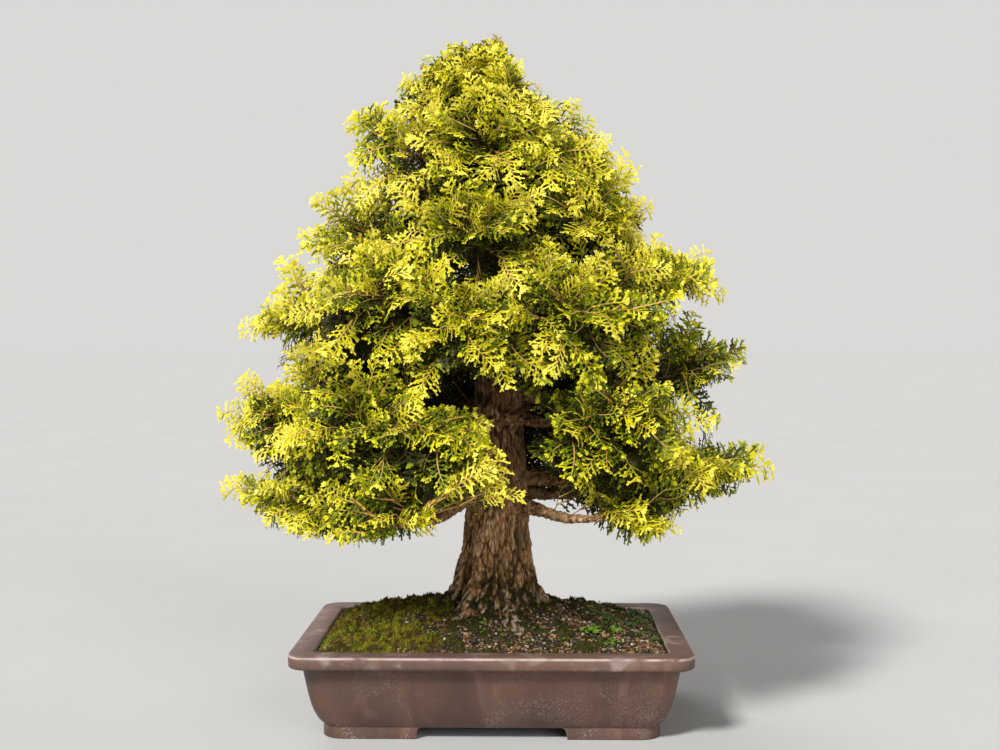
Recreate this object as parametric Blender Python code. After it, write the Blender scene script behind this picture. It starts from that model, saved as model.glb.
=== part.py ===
# Golden arborvitae bonsai in a rectangular clay pot. Metres, +Z up, front towards -Y.
# The origin is the centre of the pot's underside, on the surface that its feet stand on.

import math
import random

import bmesh
import bpy
from mathutils import Vector
from mathutils.bvhtree import BVHTree

# Pot: outer sizes at the rim, then the body's curve in plan insets from the rim's edge.
POT_LENGTH = 0.406
POT_DEPTH = 0.280
POT_HEIGHT = 0.090
RIM_HEIGHT = 0.014
RIM_WIDTH = 0.024
RIM_ROUND = 0.0035
BODY_INSET_TOP = 0.0115
BODY_INSET_FOOT = 0.031
BODY_SLOPE = 0.60
BODY_CURVE = 6
WALL = 0.012
FOOT_HEIGHT = 0.012
FOOT_WIDTH = 0.016
FOOT_ROUND = 0.0015
UNDERSIDE = 0.014
FLOOR_TOP = 0.024
RIM_CORNER = 0.020
BODY_CORNER = 0.022
INNER_CORNER = 0.010
CORNER_STEPS = 3
BODY_STEPS = 6
BODY_SPACING = 1.5
INNER_SHARES = (0.30, 0.62, 0.88, 1.0)
NOTCH_LENGTH = 0.158
NOTCH_DEPTH = 0.092
NOTCH_SLOPE = 0.005
NOTCH_FLARE = 0.002
NOTCH_SILL = 0.001
DRAIN_RADIUS = 0.011
DRAIN_SPREAD = 0.090
DRAIN_SIDES = 12
# Cutters run this far past what they cut.
CUT_PAST = 0.010

# Soil: a mound that is highest at the trunk.
SOIL_EDGE = 0.085
SOIL_PEAK = 0.124
SOIL_SHOULDER = 1.25
SOIL_RINGS = 5

# Trunk: flat cut below the soil's crest, a taper with a flare, and the roots that run out of it.
GROUND = 0.100
TRUNK_TIP = 0.690
TRUNK_RADIUS = 0.0375
TIP_RADIUS = 0.0018
TAPER = 0.90
FLARE = 0.023
FLARE_HEIGHT = 0.030
ROOT_WIDTH = 15.0
ROOT_HEIGHT = 0.022
TRUNK_SIDES = 26
TRUNK_RINGS = 16
RING_SPACING = 1.7
TRUNK_LEAN = ((0.100, 0.003, 0.002), (0.330, 0.005, 0.000), (0.480, -0.004, 0.004), (0.690, -0.008, 0.000))
# Each root: azimuth in degrees from +X, and how far it reaches past the flare.
ROOTS = (
    (200.0, 0.060),
    (234.0, 0.026),
    (277.0, 0.032),
    (312.0, 0.016),
    (350.0, 0.022),
    (42.0, 0.022),
    (98.0, 0.026),
    (150.0, 0.024),
)

# Clearances: between solids that touch, round the trunk, in the soil's pocket for it, and the wider
# one that a skipped twig or leaf would break.
CLEAR = 0.0003
TRUNK_CLEAR = 0.00036
POCKET_CLEAR = 0.0006
LIMB_CLEAR = 0.0007
# How far a mass may pass the plane midway to its neighbour, and how near the trunk its twigs begin.
CELL_OVERLAP = 0.014
BARE_AT_TRUNK = 0.006

# Boughs, by tier: name, height on the trunk, azimuth, reach of the furthest spray, height of the tip.
BOUGHS = (
    ("left_low", 0.240, 191.0, 0.306, 0.230),
    ("front_left_low", 0.250, 238.0, 0.270, 0.222),
    ("front_right_low", 0.236, 316.0, 0.250, 0.226),
    ("right_low", 0.262, 353.0, 0.298, 0.268),
    ("back_right_low", 0.244, 38.0, 0.272, 0.240),
    ("back_low", 0.270, 88.0, 0.228, 0.246),
    ("back_left_low", 0.250, 138.0, 0.276, 0.236),
    ("left_second", 0.320, 178.0, 0.306, 0.314),
    ("front_left_second", 0.330, 224.0, 0.272, 0.316),
    ("front_right_second", 0.330, 314.0, 0.244, 0.322),
    ("right_second", 0.346, 5.0, 0.286, 0.374),
    ("back_right_second", 0.338, 58.0, 0.254, 0.342),
    ("back_left_second", 0.344, 116.0, 0.250, 0.340),
    ("left_third", 0.406, 186.0, 0.276, 0.416),
    ("front_third", 0.416, 260.0, 0.210, 0.418),
    ("front_right_third", 0.424, 306.0, 0.216, 0.426),
    ("right_third", 0.434, 352.0, 0.254, 0.468),
    ("back_right_third", 0.420, 48.0, 0.232, 0.440),
    ("back_left_third", 0.424, 128.0, 0.234, 0.442),
    ("front_left_third", 0.440, 224.0, 0.228, 0.446),
    ("left_fourth", 0.492, 172.0, 0.222, 0.522),
    ("front_fourth", 0.496, 258.0, 0.158, 0.506),
    ("right_fourth", 0.508, 8.0, 0.192, 0.546),
    ("back_fourth", 0.506, 90.0, 0.166, 0.536),
)
# Masses whose own stem leaves the trunk: the same values as a bough.
TOP_MASSES = (
    ("left_fifth", 0.560, 198.0, 0.172, 0.616),
    ("right_fifth", 0.570, 342.0, 0.160, 0.612),
    ("back_fifth", 0.576, 80.0, 0.134, 0.622),
    ("front_fifth", 0.580, 268.0, 0.128, 0.606),
    ("left_top", 0.628, 186.0, 0.130, 0.694),
    ("right_top", 0.634, 350.0, 0.102, 0.672),
    ("back_top", 0.640, 96.0, 0.084, 0.690),
    ("front_top", 0.646, 232.0, 0.080, 0.708),
)
LEADER_RISE = 0.018
TREE_TOP = 0.730
# The crown's outline from the side, as height and radius, and its depth as a share of its width.
CROWN = (
    (0.188, 0.215),
    (0.220, 0.302),
    (0.300, 0.310),
    (0.380, 0.286),
    (0.440, 0.262),
    (0.560, 0.196),
    (0.690, 0.138),
    (0.722, 0.078),
    (0.731, 0.032),
)
CROWN_DEPTH = 0.88

# Each limb runs from the trunk's axis to the last twig; its bough is this share of the way.
BOUGH_SHARE = 0.44
BOUGH_SIDES = 5
BOUGH_RINGS = 3
LIMB_TO_TRUNK = 0.34
LIMB_END_RADIUS = 0.0014
STEM_SIDES = 3
STEM_RINGS = 5
LIMB_TAPER = 0.8
LIMB_SWAY = 0.006
LIMB_SAG = 0.014
FULL_SAG_LENGTH = 0.2
RISE_CURVE = 1.2

# Foliage: twigs leave each stem all round it, and each one ends in a toothed spray.
TWIGS = 10
TOP_TWIGS = 7
CANDIDATES = 20
TURN = 137.5
TWIG_RADIUS = 0.0016
TWIG_SHORTEST = 0.012
SPREAD = 0.36
FLATTEN = 0.80
# A twig's lean from its stem in degrees, at the stem's root and at its tip, and how much it varies.
LEAN_ROOT = 74.0
LEAN_TIP = 40.0
LEAN_VARIES = 10.0
STALK_VARIES = 0.15
# Sprays lose this share of their length from this height to the top of the tree.
SPRAY_LOSS = 0.36
FULL_SPRAY_BELOW = 0.36
SPRAY_LENGTH = 0.080
SPRAY_WIDTH = 0.80
SPRAY_THICKNESS = 0.06
SPRAY_CURL = 0.16
TRIES = (1.0, 0.84, 0.70)
# Outline of one half of a spray, from its root to its tip: share of the length, share of the half width.
SPRAY_TEETH = ((0.36, 0.96), (0.50, 0.46), (0.80, 0.72), (0.76, 0.30))
SPRAY_MIDDLE = 0.48

# Edges that bend by more than this many degrees stay sharp on the round pieces.
SHARP_FROM = 38.0
COLOURS = {
    "clay": ((0.19, 0.105, 0.085), 0.72),
    "soil": ((0.075, 0.065, 0.028), 0.95),
    "bark": ((0.20, 0.115, 0.065), 0.90),
    "foliage": ((0.60, 0.56, 0.06), 0.60),
}


def clear_scene():
    for obj in list(bpy.data.objects):
        bpy.data.objects.remove(obj, do_unlink=True)


def make_material(name):
    colour, roughness = COLOURS[name]
    material = bpy.data.materials.new(name)
    material.use_nodes = True
    shader = material.node_tree.nodes["Principled BSDF"]
    shader.inputs["Base Color"].default_value = (*colour, 1.0)
    shader.inputs["Roughness"].default_value = roughness
    shader.inputs["Metallic"].default_value = 0.0
    return material


def add_object(name, bm, material=None):
    bm.normal_update()
    mesh = bpy.data.meshes.new(name)
    bm.to_mesh(mesh)
    bm.free()
    if material:
        mesh.materials.append(material)
    obj = bpy.data.objects.new(name, mesh)
    bpy.context.scene.collection.objects.link(obj)
    return obj


def shade_round(obj):
    obj.data.shade_smooth()
    obj.data.set_sharp_from_angle(angle=math.radians(SHARP_FROM))


def bake_modifiers(obj):
    graph = bpy.context.evaluated_depsgraph_get()
    mesh = bpy.data.meshes.new_from_object(obj.evaluated_get(graph))
    obj.modifiers.clear()
    obj.data = mesh


def cut(obj, cutters):
    for cutter in cutters:
        modifier = obj.modifiers.new("cut", "BOOLEAN")
        modifier.operation = "DIFFERENCE"
        modifier.solver = "EXACT"
        modifier.object = cutter
    bake_modifiers(obj)


def keep_largest_body(obj):
    # Loose scraps and the walls of sealed hollows go.
    bm = bmesh.new()
    bm.from_mesh(obj.data)
    left = set(bm.verts)
    bodies = []
    while left:
        body = [left.pop()]
        for vert in body:
            for edge in vert.link_edges:
                other = edge.other_vert(vert)
                if other in left:
                    left.remove(other)
                    body.append(other)
        bodies.append(body)
    bodies.sort(key=len)
    for body in bodies[:-1]:
        bmesh.ops.delete(bm, geom=body, context="VERTS")
    bm.to_mesh(obj.data)
    bm.free()


def fuse(obj, pieces):
    # One union joins every piece of a mass to its stem.
    group = bpy.data.collections.new(obj.name + "_pieces")
    bpy.context.scene.collection.children.link(group)
    for piece in pieces:
        bpy.context.scene.collection.objects.unlink(piece)
        group.objects.link(piece)
    modifier = obj.modifiers.new("union", "BOOLEAN")
    modifier.operation = "UNION"
    modifier.solver = "MANIFOLD"
    modifier.operand_type = "COLLECTION"
    modifier.collection = group
    bake_modifiers(obj)
    for piece in pieces:
        bpy.data.objects.remove(piece, do_unlink=True)
    bpy.data.collections.remove(group)
    keep_largest_body(obj)


def bridge(bm, rings):
    for lower, upper in zip(rings, rings[1:]):
        for i in range(len(lower)):
            j = (i + 1) % len(lower)
            bm.faces.new((lower[i], lower[j], upper[j], upper[i]))


def polar(azimuth):
    angle = math.radians(azimuth)
    return Vector((math.cos(angle), math.sin(angle), 0.0))


# Pot


def rounded_rectangle(half_x, half_y, corner, z):
    points = []
    for quarter in range(4):
        sign_x = 1 if quarter in (0, 3) else -1
        sign_y = 1 if quarter in (0, 1) else -1
        for step in range(CORNER_STEPS + 1):
            angle = math.radians(90 * quarter + 90 * step / CORNER_STEPS)
            x = sign_x * (half_x - corner) + corner * math.cos(angle)
            y = sign_y * (half_y - corner) + corner * math.sin(angle)
            points.append(Vector((x, y, z)))
    return points


def pot_loop(inset, corner, z):
    return rounded_rectangle(POT_LENGTH / 2 - inset, POT_DEPTH / 2 - inset, corner, z)


def body_inset(z):
    top = POT_HEIGHT - RIM_HEIGHT
    down = (top - z) / (top - FOOT_HEIGHT)
    share = BODY_SLOPE * down + (1 - BODY_SLOPE) * down**BODY_CURVE
    return BODY_INSET_TOP + (BODY_INSET_FOOT - BODY_INSET_TOP) * share


def inner_inset(z):
    top = POT_HEIGHT - RIM_HEIGHT
    if z >= top:
        return RIM_WIDTH
    return max(RIM_WIDTH, body_inset(z) + WALL)


def pot_loops():
    top = POT_HEIGHT - RIM_HEIGHT
    foot_inside = BODY_INSET_FOOT + FOOT_WIDTH
    loops = [
        pot_loop(foot_inside, INNER_CORNER, UNDERSIDE),
        pot_loop(foot_inside, INNER_CORNER, 0.0),
        pot_loop(BODY_INSET_FOOT + FOOT_ROUND, BODY_CORNER, 0.0),
        pot_loop(BODY_INSET_FOOT, BODY_CORNER, FOOT_ROUND),
        pot_loop(BODY_INSET_FOOT, BODY_CORNER, FOOT_HEIGHT),
    ]
    for step in range(1, BODY_STEPS + 1):
        z = FOOT_HEIGHT + (top - FOOT_HEIGHT) * (step / BODY_STEPS) ** BODY_SPACING
        loops.append(pot_loop(body_inset(z), BODY_CORNER, z))
    loops += [
        pot_loop(RIM_ROUND, RIM_CORNER, top),
        pot_loop(0.0, RIM_CORNER, top + RIM_ROUND),
        pot_loop(0.0, RIM_CORNER, POT_HEIGHT - RIM_ROUND),
        pot_loop(RIM_ROUND, RIM_CORNER, POT_HEIGHT),
        pot_loop(RIM_WIDTH, INNER_CORNER, POT_HEIGHT),
    ]
    return loops + [pot_loop(inner_inset(z), INNER_CORNER, z) for z in inner_levels(POT_HEIGHT)]


def inner_levels(top):
    # Heights of the loops down the inside of the pot, below the one at the top.
    return [top + (FLOOR_TOP - top) * share for share in INNER_SHARES]


def foot_notch(length, along_y):
    # A prism wider at the bottom, which runs right under the pot.
    bm = bmesh.new()
    section = (
        (-length / 2 - NOTCH_FLARE, -CUT_PAST),
        (length / 2 + NOTCH_FLARE, -CUT_PAST),
        (length / 2, NOTCH_SILL),
        (length / 2 - NOTCH_SLOPE, FOOT_HEIGHT),
        (-length / 2 + NOTCH_SLOPE, FOOT_HEIGHT),
        (-length / 2, NOTCH_SILL),
    )
    loops = []
    for far in (-POT_LENGTH, POT_LENGTH):
        points = [(side, -far, z) if along_y else (far, side, z) for side, z in section]
        loops.append([bm.verts.new(point) for point in points])
    bridge(bm, loops)
    bm.faces.new(loops[0])
    bm.faces.new(loops[1])
    bmesh.ops.recalc_face_normals(bm, faces=bm.faces)
    return add_object("notch", bm)


def drain_hole(x):
    bm = bmesh.new()
    depth = FLOOR_TOP - UNDERSIDE + 2 * CUT_PAST
    bmesh.ops.create_cone(
        bm, cap_ends=True, segments=DRAIN_SIDES, radius1=DRAIN_RADIUS, radius2=DRAIN_RADIUS, depth=depth
    )
    bmesh.ops.translate(bm, verts=bm.verts, vec=(x, 0.0, (UNDERSIDE + FLOOR_TOP) / 2))
    return add_object("drain", bm)


def build_pot(material):
    bm = bmesh.new()
    rings = [[bm.verts.new(point) for point in loop] for loop in pot_loops()]
    bridge(bm, rings)
    bm.faces.new(rings[0])
    bm.faces.new(rings[-1])
    bmesh.ops.recalc_face_normals(bm, faces=bm.faces)
    pot = add_object("pot", bm, material)
    cutters = [
        foot_notch(NOTCH_LENGTH, True),
        foot_notch(NOTCH_DEPTH, False),
        drain_hole(-DRAIN_SPREAD),
        drain_hole(DRAIN_SPREAD),
    ]
    cut(pot, cutters)
    for cutter in cutters:
        bpy.data.objects.remove(cutter, do_unlink=True)
    shade_round(pot)


# Soil


def mound_height(share):
    # Height of the mound, from its middle at 0 to the pot's wall at 1.
    return SOIL_EDGE + (SOIL_PEAK - SOIL_EDGE) * max(0.0, 1 - share * share) ** SOIL_SHOULDER


def mound_point(point, half_x, half_y, share):
    # The mound's contours turn from the pot's rectangle into ellipses towards the middle.
    angle = math.atan2(point.y / half_y, point.x / half_x)
    square = share * share
    x = share * (square * point.x + (1 - square) * half_x * math.cos(angle))
    y = share * (square * point.y + (1 - square) * half_y * math.sin(angle))
    return Vector((x, y, mound_height(share)))


def build_soil(material, trunk_pocket):
    bm = bmesh.new()
    bottom = FLOOR_TOP + CLEAR
    levels = [z for z in reversed(inner_levels(POT_HEIGHT)) if bottom < z < SOIL_EDGE]
    levels = [bottom, *levels, SOIL_EDGE]
    loops = [pot_loop(inner_inset(z) + CLEAR, INNER_CORNER, z) for z in levels]
    edge = loops[-1]
    half_x = max(point.x for point in edge)
    half_y = max(point.y for point in edge)
    for ring in range(1, SOIL_RINGS):
        share = 1 - ring / SOIL_RINGS
        loops.append([mound_point(point, half_x, half_y, share) for point in edge])
    rings = [[bm.verts.new(point) for point in loop] for loop in loops]
    bridge(bm, rings)
    bm.faces.new(rings[0])
    crest = bm.verts.new((0.0, 0.0, SOIL_PEAK))
    inner = rings[-1]
    for i in range(len(inner)):
        bm.faces.new((inner[i], inner[(i + 1) % len(inner)], crest))
    bmesh.ops.recalc_face_normals(bm, faces=bm.faces)
    soil = add_object("soil", bm, material)
    cut(soil, [trunk_pocket])
    shade_round(soil)


# Trunk


def smooth_between(z, table):
    # A point between the rows of a (height, x, y) table, eased at each row.
    for low, high in zip(table, table[1:]):
        if z <= high[0]:
            share = max(0.0, (z - low[0]) / (high[0] - low[0]))
            share = share * share * (3 - 2 * share)
            x = low[1] + (high[1] - low[1]) * share
            return Vector((x, low[2] + (high[2] - low[2]) * share, z))
    return Vector((table[-1][1], table[-1][2], z))


def trunk_axis(z):
    return smooth_between(z, TRUNK_LEAN)


def trunk_core(z):
    left = min(1.0, max(0.0, (TRUNK_TIP - z) / (TRUNK_TIP - GROUND)))
    flare = FLARE * math.exp(-(z - GROUND) / FLARE_HEIGHT)
    return TIP_RADIUS + TRUNK_RADIUS * left**TAPER + flare


def trunk_radius(z, azimuth):
    z = max(z, GROUND)
    radius = trunk_core(z)
    for root_azimuth, reach in ROOTS:
        turn = (azimuth - root_azimuth + 180) % 360 - 180
        radius += reach * math.exp(-((turn / ROOT_WIDTH) ** 2) - (z - GROUND) / ROOT_HEIGHT)
    return radius


def trunk_levels():
    # Rings close together in the flare and further apart above it.
    shares = [(i / TRUNK_RINGS) ** RING_SPACING for i in range(TRUNK_RINGS + 1)]
    return [GROUND + (TRUNK_TIP - GROUND) * share for share in shares]


def trunk_mesh(grow_by, levels):
    bm = bmesh.new()
    rings = []
    for z in levels:
        centre = trunk_axis(z)
        ring = []
        for side in range(TRUNK_SIDES):
            azimuth = 360 * side / TRUNK_SIDES
            ring.append(bm.verts.new(centre + polar(azimuth) * (trunk_radius(z, azimuth) + grow_by)))
        rings.append(ring)
    bridge(bm, rings)
    bm.faces.new(rings[0])
    bm.faces.new(rings[-1])
    bmesh.ops.recalc_face_normals(bm, faces=bm.faces)
    # The trunk and its cutters have their diagonals alike, so their gap stays even on the roots.
    bmesh.ops.triangulate(bm, faces=bm.faces, quad_method="FIXED")
    return bm


def build_trunk(material):
    shade_round(add_object("trunk", trunk_mesh(0.0, trunk_levels()), material))


def trunk_cutter(name, grow_by, levels):
    # The same shape, larger by a gap, with a straight wall below the trunk's flat cut.
    return add_object(name, trunk_mesh(grow_by, [GROUND - CLEAR, *levels]))


# Limbs: a bough and the stem that follows it are two stretches of one tapering line.


def limb_of(name, height, azimuth, reach, tip_height):
    rng = random.Random(name)
    spray = SPRAY_LENGTH * spray_scale(height)
    return {
        "name": name,
        "start": trunk_axis(height),
        "forward": polar(azimuth),
        "side": polar(azimuth + 90),
        "reach": reach,
        "length": reach - spray,
        "rise": tip_height - height,
        "sway": LIMB_SWAY * rng.choice((-1, 1)) * (0.6 + 0.4 * rng.random()),
        "radius": trunk_core(height) * LIMB_TO_TRUNK,
        "trunk": trunk_core(height),
        "height": height,
        "spray": spray,
    }


def leader_limb():
    return {
        "name": "leader",
        "start": trunk_axis(TRUNK_TIP) + Vector((0.0, 0.0, CLEAR)),
        "forward": Vector((0.0, 0.0, 1.0)),
        "side": Vector((1.0, 0.0, 0.0)),
        "reach": TREE_TOP - TRUNK_TIP,
        "length": LEADER_RISE,
        "rise": 0.0,
        "sway": 0.0,
        "radius": TIP_RADIUS,
        "trunk": 0.0,
        "height": TRUNK_TIP,
        "spray": TREE_TOP - TRUNK_TIP - LEADER_RISE,
    }


def spray_scale(height):
    # Sprays are smaller towards the top of the tree.
    up = (height - FULL_SPRAY_BELOW) / (TREE_TOP - FULL_SPRAY_BELOW)
    return 1.0 - SPRAY_LOSS * max(0.0, up)


def limb_point(limb, share):
    sag = -LIMB_SAG * math.sin(math.pi * share) * min(1.0, limb["length"] / FULL_SAG_LENGTH)
    point = limb["start"] + limb["forward"] * (limb["length"] * share)
    point += limb["side"] * (limb["sway"] * math.sin(2 * math.pi * share))
    point.z += limb["rise"] * share**RISE_CURVE + (sag if limb["trunk"] else 0.0)
    return point


def limb_tangent(limb, share):
    step = 0.01
    before = limb_point(limb, share - step if share > step else 0)
    return (limb_point(limb, share + step) - before).normalized()


def limb_radius(limb, share):
    return LIMB_END_RADIUS + (limb["radius"] - LIMB_END_RADIUS) * (1 - share) ** LIMB_TAPER


def cross_frame(tangent):
    # Two directions square to a tangent, the second as near to straight up as it can be.
    reference = Vector((0, 0, 1)) if abs(tangent.z) < 0.9 else Vector((0, 1, 0))
    side = tangent.cross(reference).normalized()
    return side, side.cross(tangent).normalized()


def limb_tube(limb, shares, radii, sides):
    # A tapering tube along a limb, square to it at each ring. A last radius of 0 makes a pointed tip.
    bm = bmesh.new()
    rings = []
    for share, radius in zip(shares, radii):
        side, up = cross_frame(limb_tangent(limb, share))
        centre = limb_point(limb, share)
        count = sides if radius else 1
        ring = []
        for k in range(count):
            angle = 2 * math.pi * k / sides + math.pi / 2
            ring.append(bm.verts.new(centre + (side * math.cos(angle) + up * math.sin(angle)) * radius))
        rings.append(ring)
    full = [ring for ring in rings if len(ring) == sides]
    bridge(bm, full)
    bm.faces.new(full[0])
    if len(full) < len(rings):
        for k in range(sides):
            bm.faces.new((full[-1][k], full[-1][(k + 1) % sides], rings[-1][0]))
    else:
        bm.faces.new(full[-1])
    bmesh.ops.recalc_face_normals(bm, faces=bm.faces)
    return bm


def bough_tube(limb, grow_by=0.0):
    shares = [BOUGH_SHARE * i / (BOUGH_RINGS - 1) for i in range(BOUGH_RINGS)]
    return limb_tube(limb, shares, [limb_radius(limb, share) + grow_by for share in shares], BOUGH_SIDES)


def stem_start(limb, on_bough):
    return BOUGH_SHARE + CLEAR / limb["length"] if on_bough else 0.0


def stem_tube(limb, on_bough):
    first = stem_start(limb, on_bough)
    shares = [first + (1 - first) * i / (STEM_RINGS - 1) for i in range(STEM_RINGS)]
    radii = [limb_radius(limb, share) for share in shares[:-1]] + [0.0]
    return limb_tube(limb, shares, radii, STEM_SIDES)


# Foliage


def leafy_twig(base, root, ahead, facing, length):
    # A three-sided stalk that widens at its root into a toothed blade, thickest on its rib and curled down.
    side = ahead.cross(facing).normalized()
    up = side.cross(ahead).normalized()
    half = length * SPRAY_WIDTH / 2
    bm = bmesh.new()
    stalk = []
    for point, radius in ((base, TWIG_RADIUS), (root, TWIG_RADIUS * 0.8)):
        corners = (point + side * radius, point - up * (1.5 * radius), point - side * radius)
        stalk.append([bm.verts.new(corner) for corner in corners])
    bridge(bm, stalk)
    bm.faces.new(stalk[0])
    rim = list(SPRAY_TEETH) + [(1.0, 0.0)] + [(share, -out) for share, out in reversed(SPRAY_TEETH)]
    left, keel, right = stalk[1]
    edge = []
    for share, out in rim:
        drop = SPRAY_CURL * length * (share * share + 0.5 * out * out)
        edge.append(bm.verts.new(root + ahead * (length * share) + side * (half * out) - up * drop))
    middle = root + ahead * (length * SPRAY_MIDDLE) - up * (SPRAY_CURL * length * SPRAY_MIDDLE**2)
    thick = up * (SPRAY_THICKNESS * length / 2)
    faces = ((middle + thick, [left, *edge, right]), (middle - thick, [left, *edge, right, keel]))
    for apex, loop in faces:
        top = bm.verts.new(apex)
        for i in range(len(loop)):
            bm.faces.new((loop[i], loop[(i + 1) % len(loop)], top))
    bmesh.ops.recalc_face_normals(bm, faces=bm.faces)
    return bm


def twig_rule(limb, first, count):
    # From the tip inwards, twigs go round the stem by a fixed turn, and the longest are at its middle.
    rng = random.Random(limb["name"])
    tangent = limb_tangent(limb, 0.97)
    yield limb_point(limb, 0.93), limb_point(limb, 1.0), tangent, cross_frame(tangent)[1], limb["spray"]
    start_turn = rng.uniform(0, 360)
    for k in range(count):
        along = 1 - (k + 0.5) / count
        share = first + (1 - first) * along
        base = limb_point(limb, share)
        tangent = limb_tangent(limb, min(share, 0.97))
        side, up = cross_frame(tangent)
        turn = math.radians(start_turn + TURN * k)
        lean = LEAN_ROOT + (LEAN_TIP - LEAN_ROOT) * along
        lean = math.radians(lean + rng.uniform(-LEAN_VARIES, LEAN_VARIES))
        out = side * math.cos(turn) + up * (FLATTEN * math.sin(turn))
        direction = (tangent * math.cos(lean) + out * math.sin(lean)).normalized()
        widest = SPREAD * limb["reach"] * math.sin(math.pi * (0.25 + 0.50 * along)) * out.length
        stalk = (widest - limb["spray"] * 0.8) * rng.uniform(1 - STALK_VARIES, 1 + STALK_VARIES)
        root = base + direction * max(TWIG_SHORTEST, stalk)
        ahead = (direction + Vector((0, 0, rng.uniform(-0.40, 0.25)))).normalized()
        facing = limb["forward"] * rng.uniform(0.2, 1.2) + Vector((0, 0, 0.9)) + side * rng.uniform(-1, 1)
        yield base, root, ahead, facing, limb["spray"] * rng.uniform(0.85, 1.10)


def tree_of(bm):
    bm.verts.ensure_lookup_table()
    bm.verts.index_update()
    return BVHTree.FromBMesh(bm)


def beyond_crown(point):
    if not CROWN[0][0] < point.z < CROWN[-1][0]:
        return True
    for low, high in zip(CROWN, CROWN[1:]):
        if point.z <= high[0]:
            share = (point.z - low[0]) / (high[0] - low[0])
            return math.hypot(point.x, point.y / CROWN_DEPTH) > low[1] + (high[1] - low[1]) * share
    return True


def in_cell(bm, site, others):
    for vert in bm.verts:
        if beyond_crown(vert.co):
            return False
        for other in others:
            across = other - site
            if (vert.co - (site + other) / 2).dot(across) > CELL_OVERLAP * across.length:
                return False
    return True


def free_of(bm, obstacles):
    piece = tree_of(bm)
    return not any(piece.overlap(obstacle) for obstacle in obstacles)


def build_mass(limb, on_bough, sites, obstacles, cutter, material):
    first = stem_start(limb, on_bough)
    stem = add_object(limb["name"] + "_foliage", stem_tube(limb, on_bough), material)
    if not on_bough and limb["trunk"]:
        cut(stem, [cutter])
    others = [point for name, point in sites.items() if name != limb["name"]]
    site = sites[limb["name"]]
    leafy_from = first
    if limb["trunk"]:
        leafy_from = max(first, (limb["trunk"] + BARE_AT_TRUNK) / limb["length"])
    most = TWIGS if on_bough else TOP_TWIGS
    pieces, kept = [], 0
    for base, root, ahead, facing, length in twig_rule(limb, leafy_from, CANDIDATES):
        for share in TRIES if kept < most else ():
            bm = leafy_twig(base, base + (root - base) * share, ahead, facing, length * share)
            if in_cell(bm, site, others) and free_of(bm, obstacles):
                kept += 1
                obstacles.append(tree_of(bm))
                pieces.append(add_object("spray", bm))
                break
            bm.free()
    fuse(stem, pieces)


def parent_to_empty():
    # Every piece hangs on one empty at the origin, so that the tree moves with its pot.
    base = bpy.data.objects.new("bonsai", None)
    for piece in list(bpy.context.scene.collection.objects):
        piece.parent = base
    bpy.context.scene.collection.objects.link(base)


def main():
    clear_scene()
    materials = {name: make_material(name) for name in COLOURS}
    build_pot(materials["clay"])
    build_trunk(materials["bark"])
    pocket_levels = [z for z in trunk_levels() if z < SOIL_PEAK + CUT_PAST * 2]
    pocket = trunk_cutter("trunk_pocket", POCKET_CLEAR, pocket_levels)
    build_soil(materials["soil"], pocket)
    cutter = trunk_cutter("trunk_clearance", TRUNK_CLEAR, trunk_levels())

    boughs = [limb_of(*row) for row in BOUGHS]
    tops = [limb_of(*row) for row in TOP_MASSES] + [leader_limb()]
    limbs = boughs + tops
    sites = {limb["name"]: limb_point(limb, 0.5 * (BOUGH_SHARE + 1)) for limb in limbs}
    trunk_tree = tree_of(trunk_mesh(LIMB_CLEAR, trunk_levels()))
    bough_trees = [tree_of(bough_tube(limb, LIMB_CLEAR)) for limb in boughs]
    stem_trees = {limb["name"]: tree_of(stem_tube(limb, limb in boughs)) for limb in limbs}

    for limb in boughs:
        bough = add_object(limb["name"] + "_bough", bough_tube(limb), materials["bark"])
        cut(bough, [cutter])
        shade_round(bough)
    sprays = []
    for limb in limbs:
        obstacles = [trunk_tree, *bough_trees, *sprays]
        obstacles += [tree for name, tree in stem_trees.items() if name != limb["name"]]
        known = len(obstacles)
        build_mass(limb, limb in boughs, sites, obstacles, cutter, materials["foliage"])
        sprays += obstacles[known:]
    for helper in (pocket, cutter):
        bpy.data.objects.remove(helper, do_unlink=True)
    parent_to_empty()


main()
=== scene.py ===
# Looks of the golden arborvitae bonsai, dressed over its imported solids.
# Metres, +Z up, the front towards -Y. Object coordinates are the row frame everywhere.
import math
import random

import bmesh
import bpy
import numpy as np
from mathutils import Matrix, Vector, noise


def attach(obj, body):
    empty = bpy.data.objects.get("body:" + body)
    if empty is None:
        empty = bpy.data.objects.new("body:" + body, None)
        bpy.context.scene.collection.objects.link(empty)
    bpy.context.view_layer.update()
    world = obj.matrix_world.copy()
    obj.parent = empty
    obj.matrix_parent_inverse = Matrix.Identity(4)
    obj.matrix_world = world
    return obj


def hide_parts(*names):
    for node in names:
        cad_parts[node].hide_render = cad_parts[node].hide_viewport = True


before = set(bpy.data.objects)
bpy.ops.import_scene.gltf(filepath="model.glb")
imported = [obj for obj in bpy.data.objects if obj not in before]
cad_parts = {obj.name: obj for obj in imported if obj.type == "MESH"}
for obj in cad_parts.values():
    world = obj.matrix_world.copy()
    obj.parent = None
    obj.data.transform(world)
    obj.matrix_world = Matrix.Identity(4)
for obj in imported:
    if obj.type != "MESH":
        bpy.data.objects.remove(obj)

noise.seed_set(11)
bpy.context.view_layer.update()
up = Vector((0.0, 0.0, 1.0))
foliageNodes = [name for name in sorted(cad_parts) if name.endswith("_foliage")]
mostTriangles = 185000
print("frame:", len(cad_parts), "nodes")

# The photo's point of view: millimetres of lens, metres, degrees
camera = {"lens": 48.0, "at": (0.030, -1.440, 0.402), "tilt": 88.5, "yaw": 0.914}


# Meshes

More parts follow.
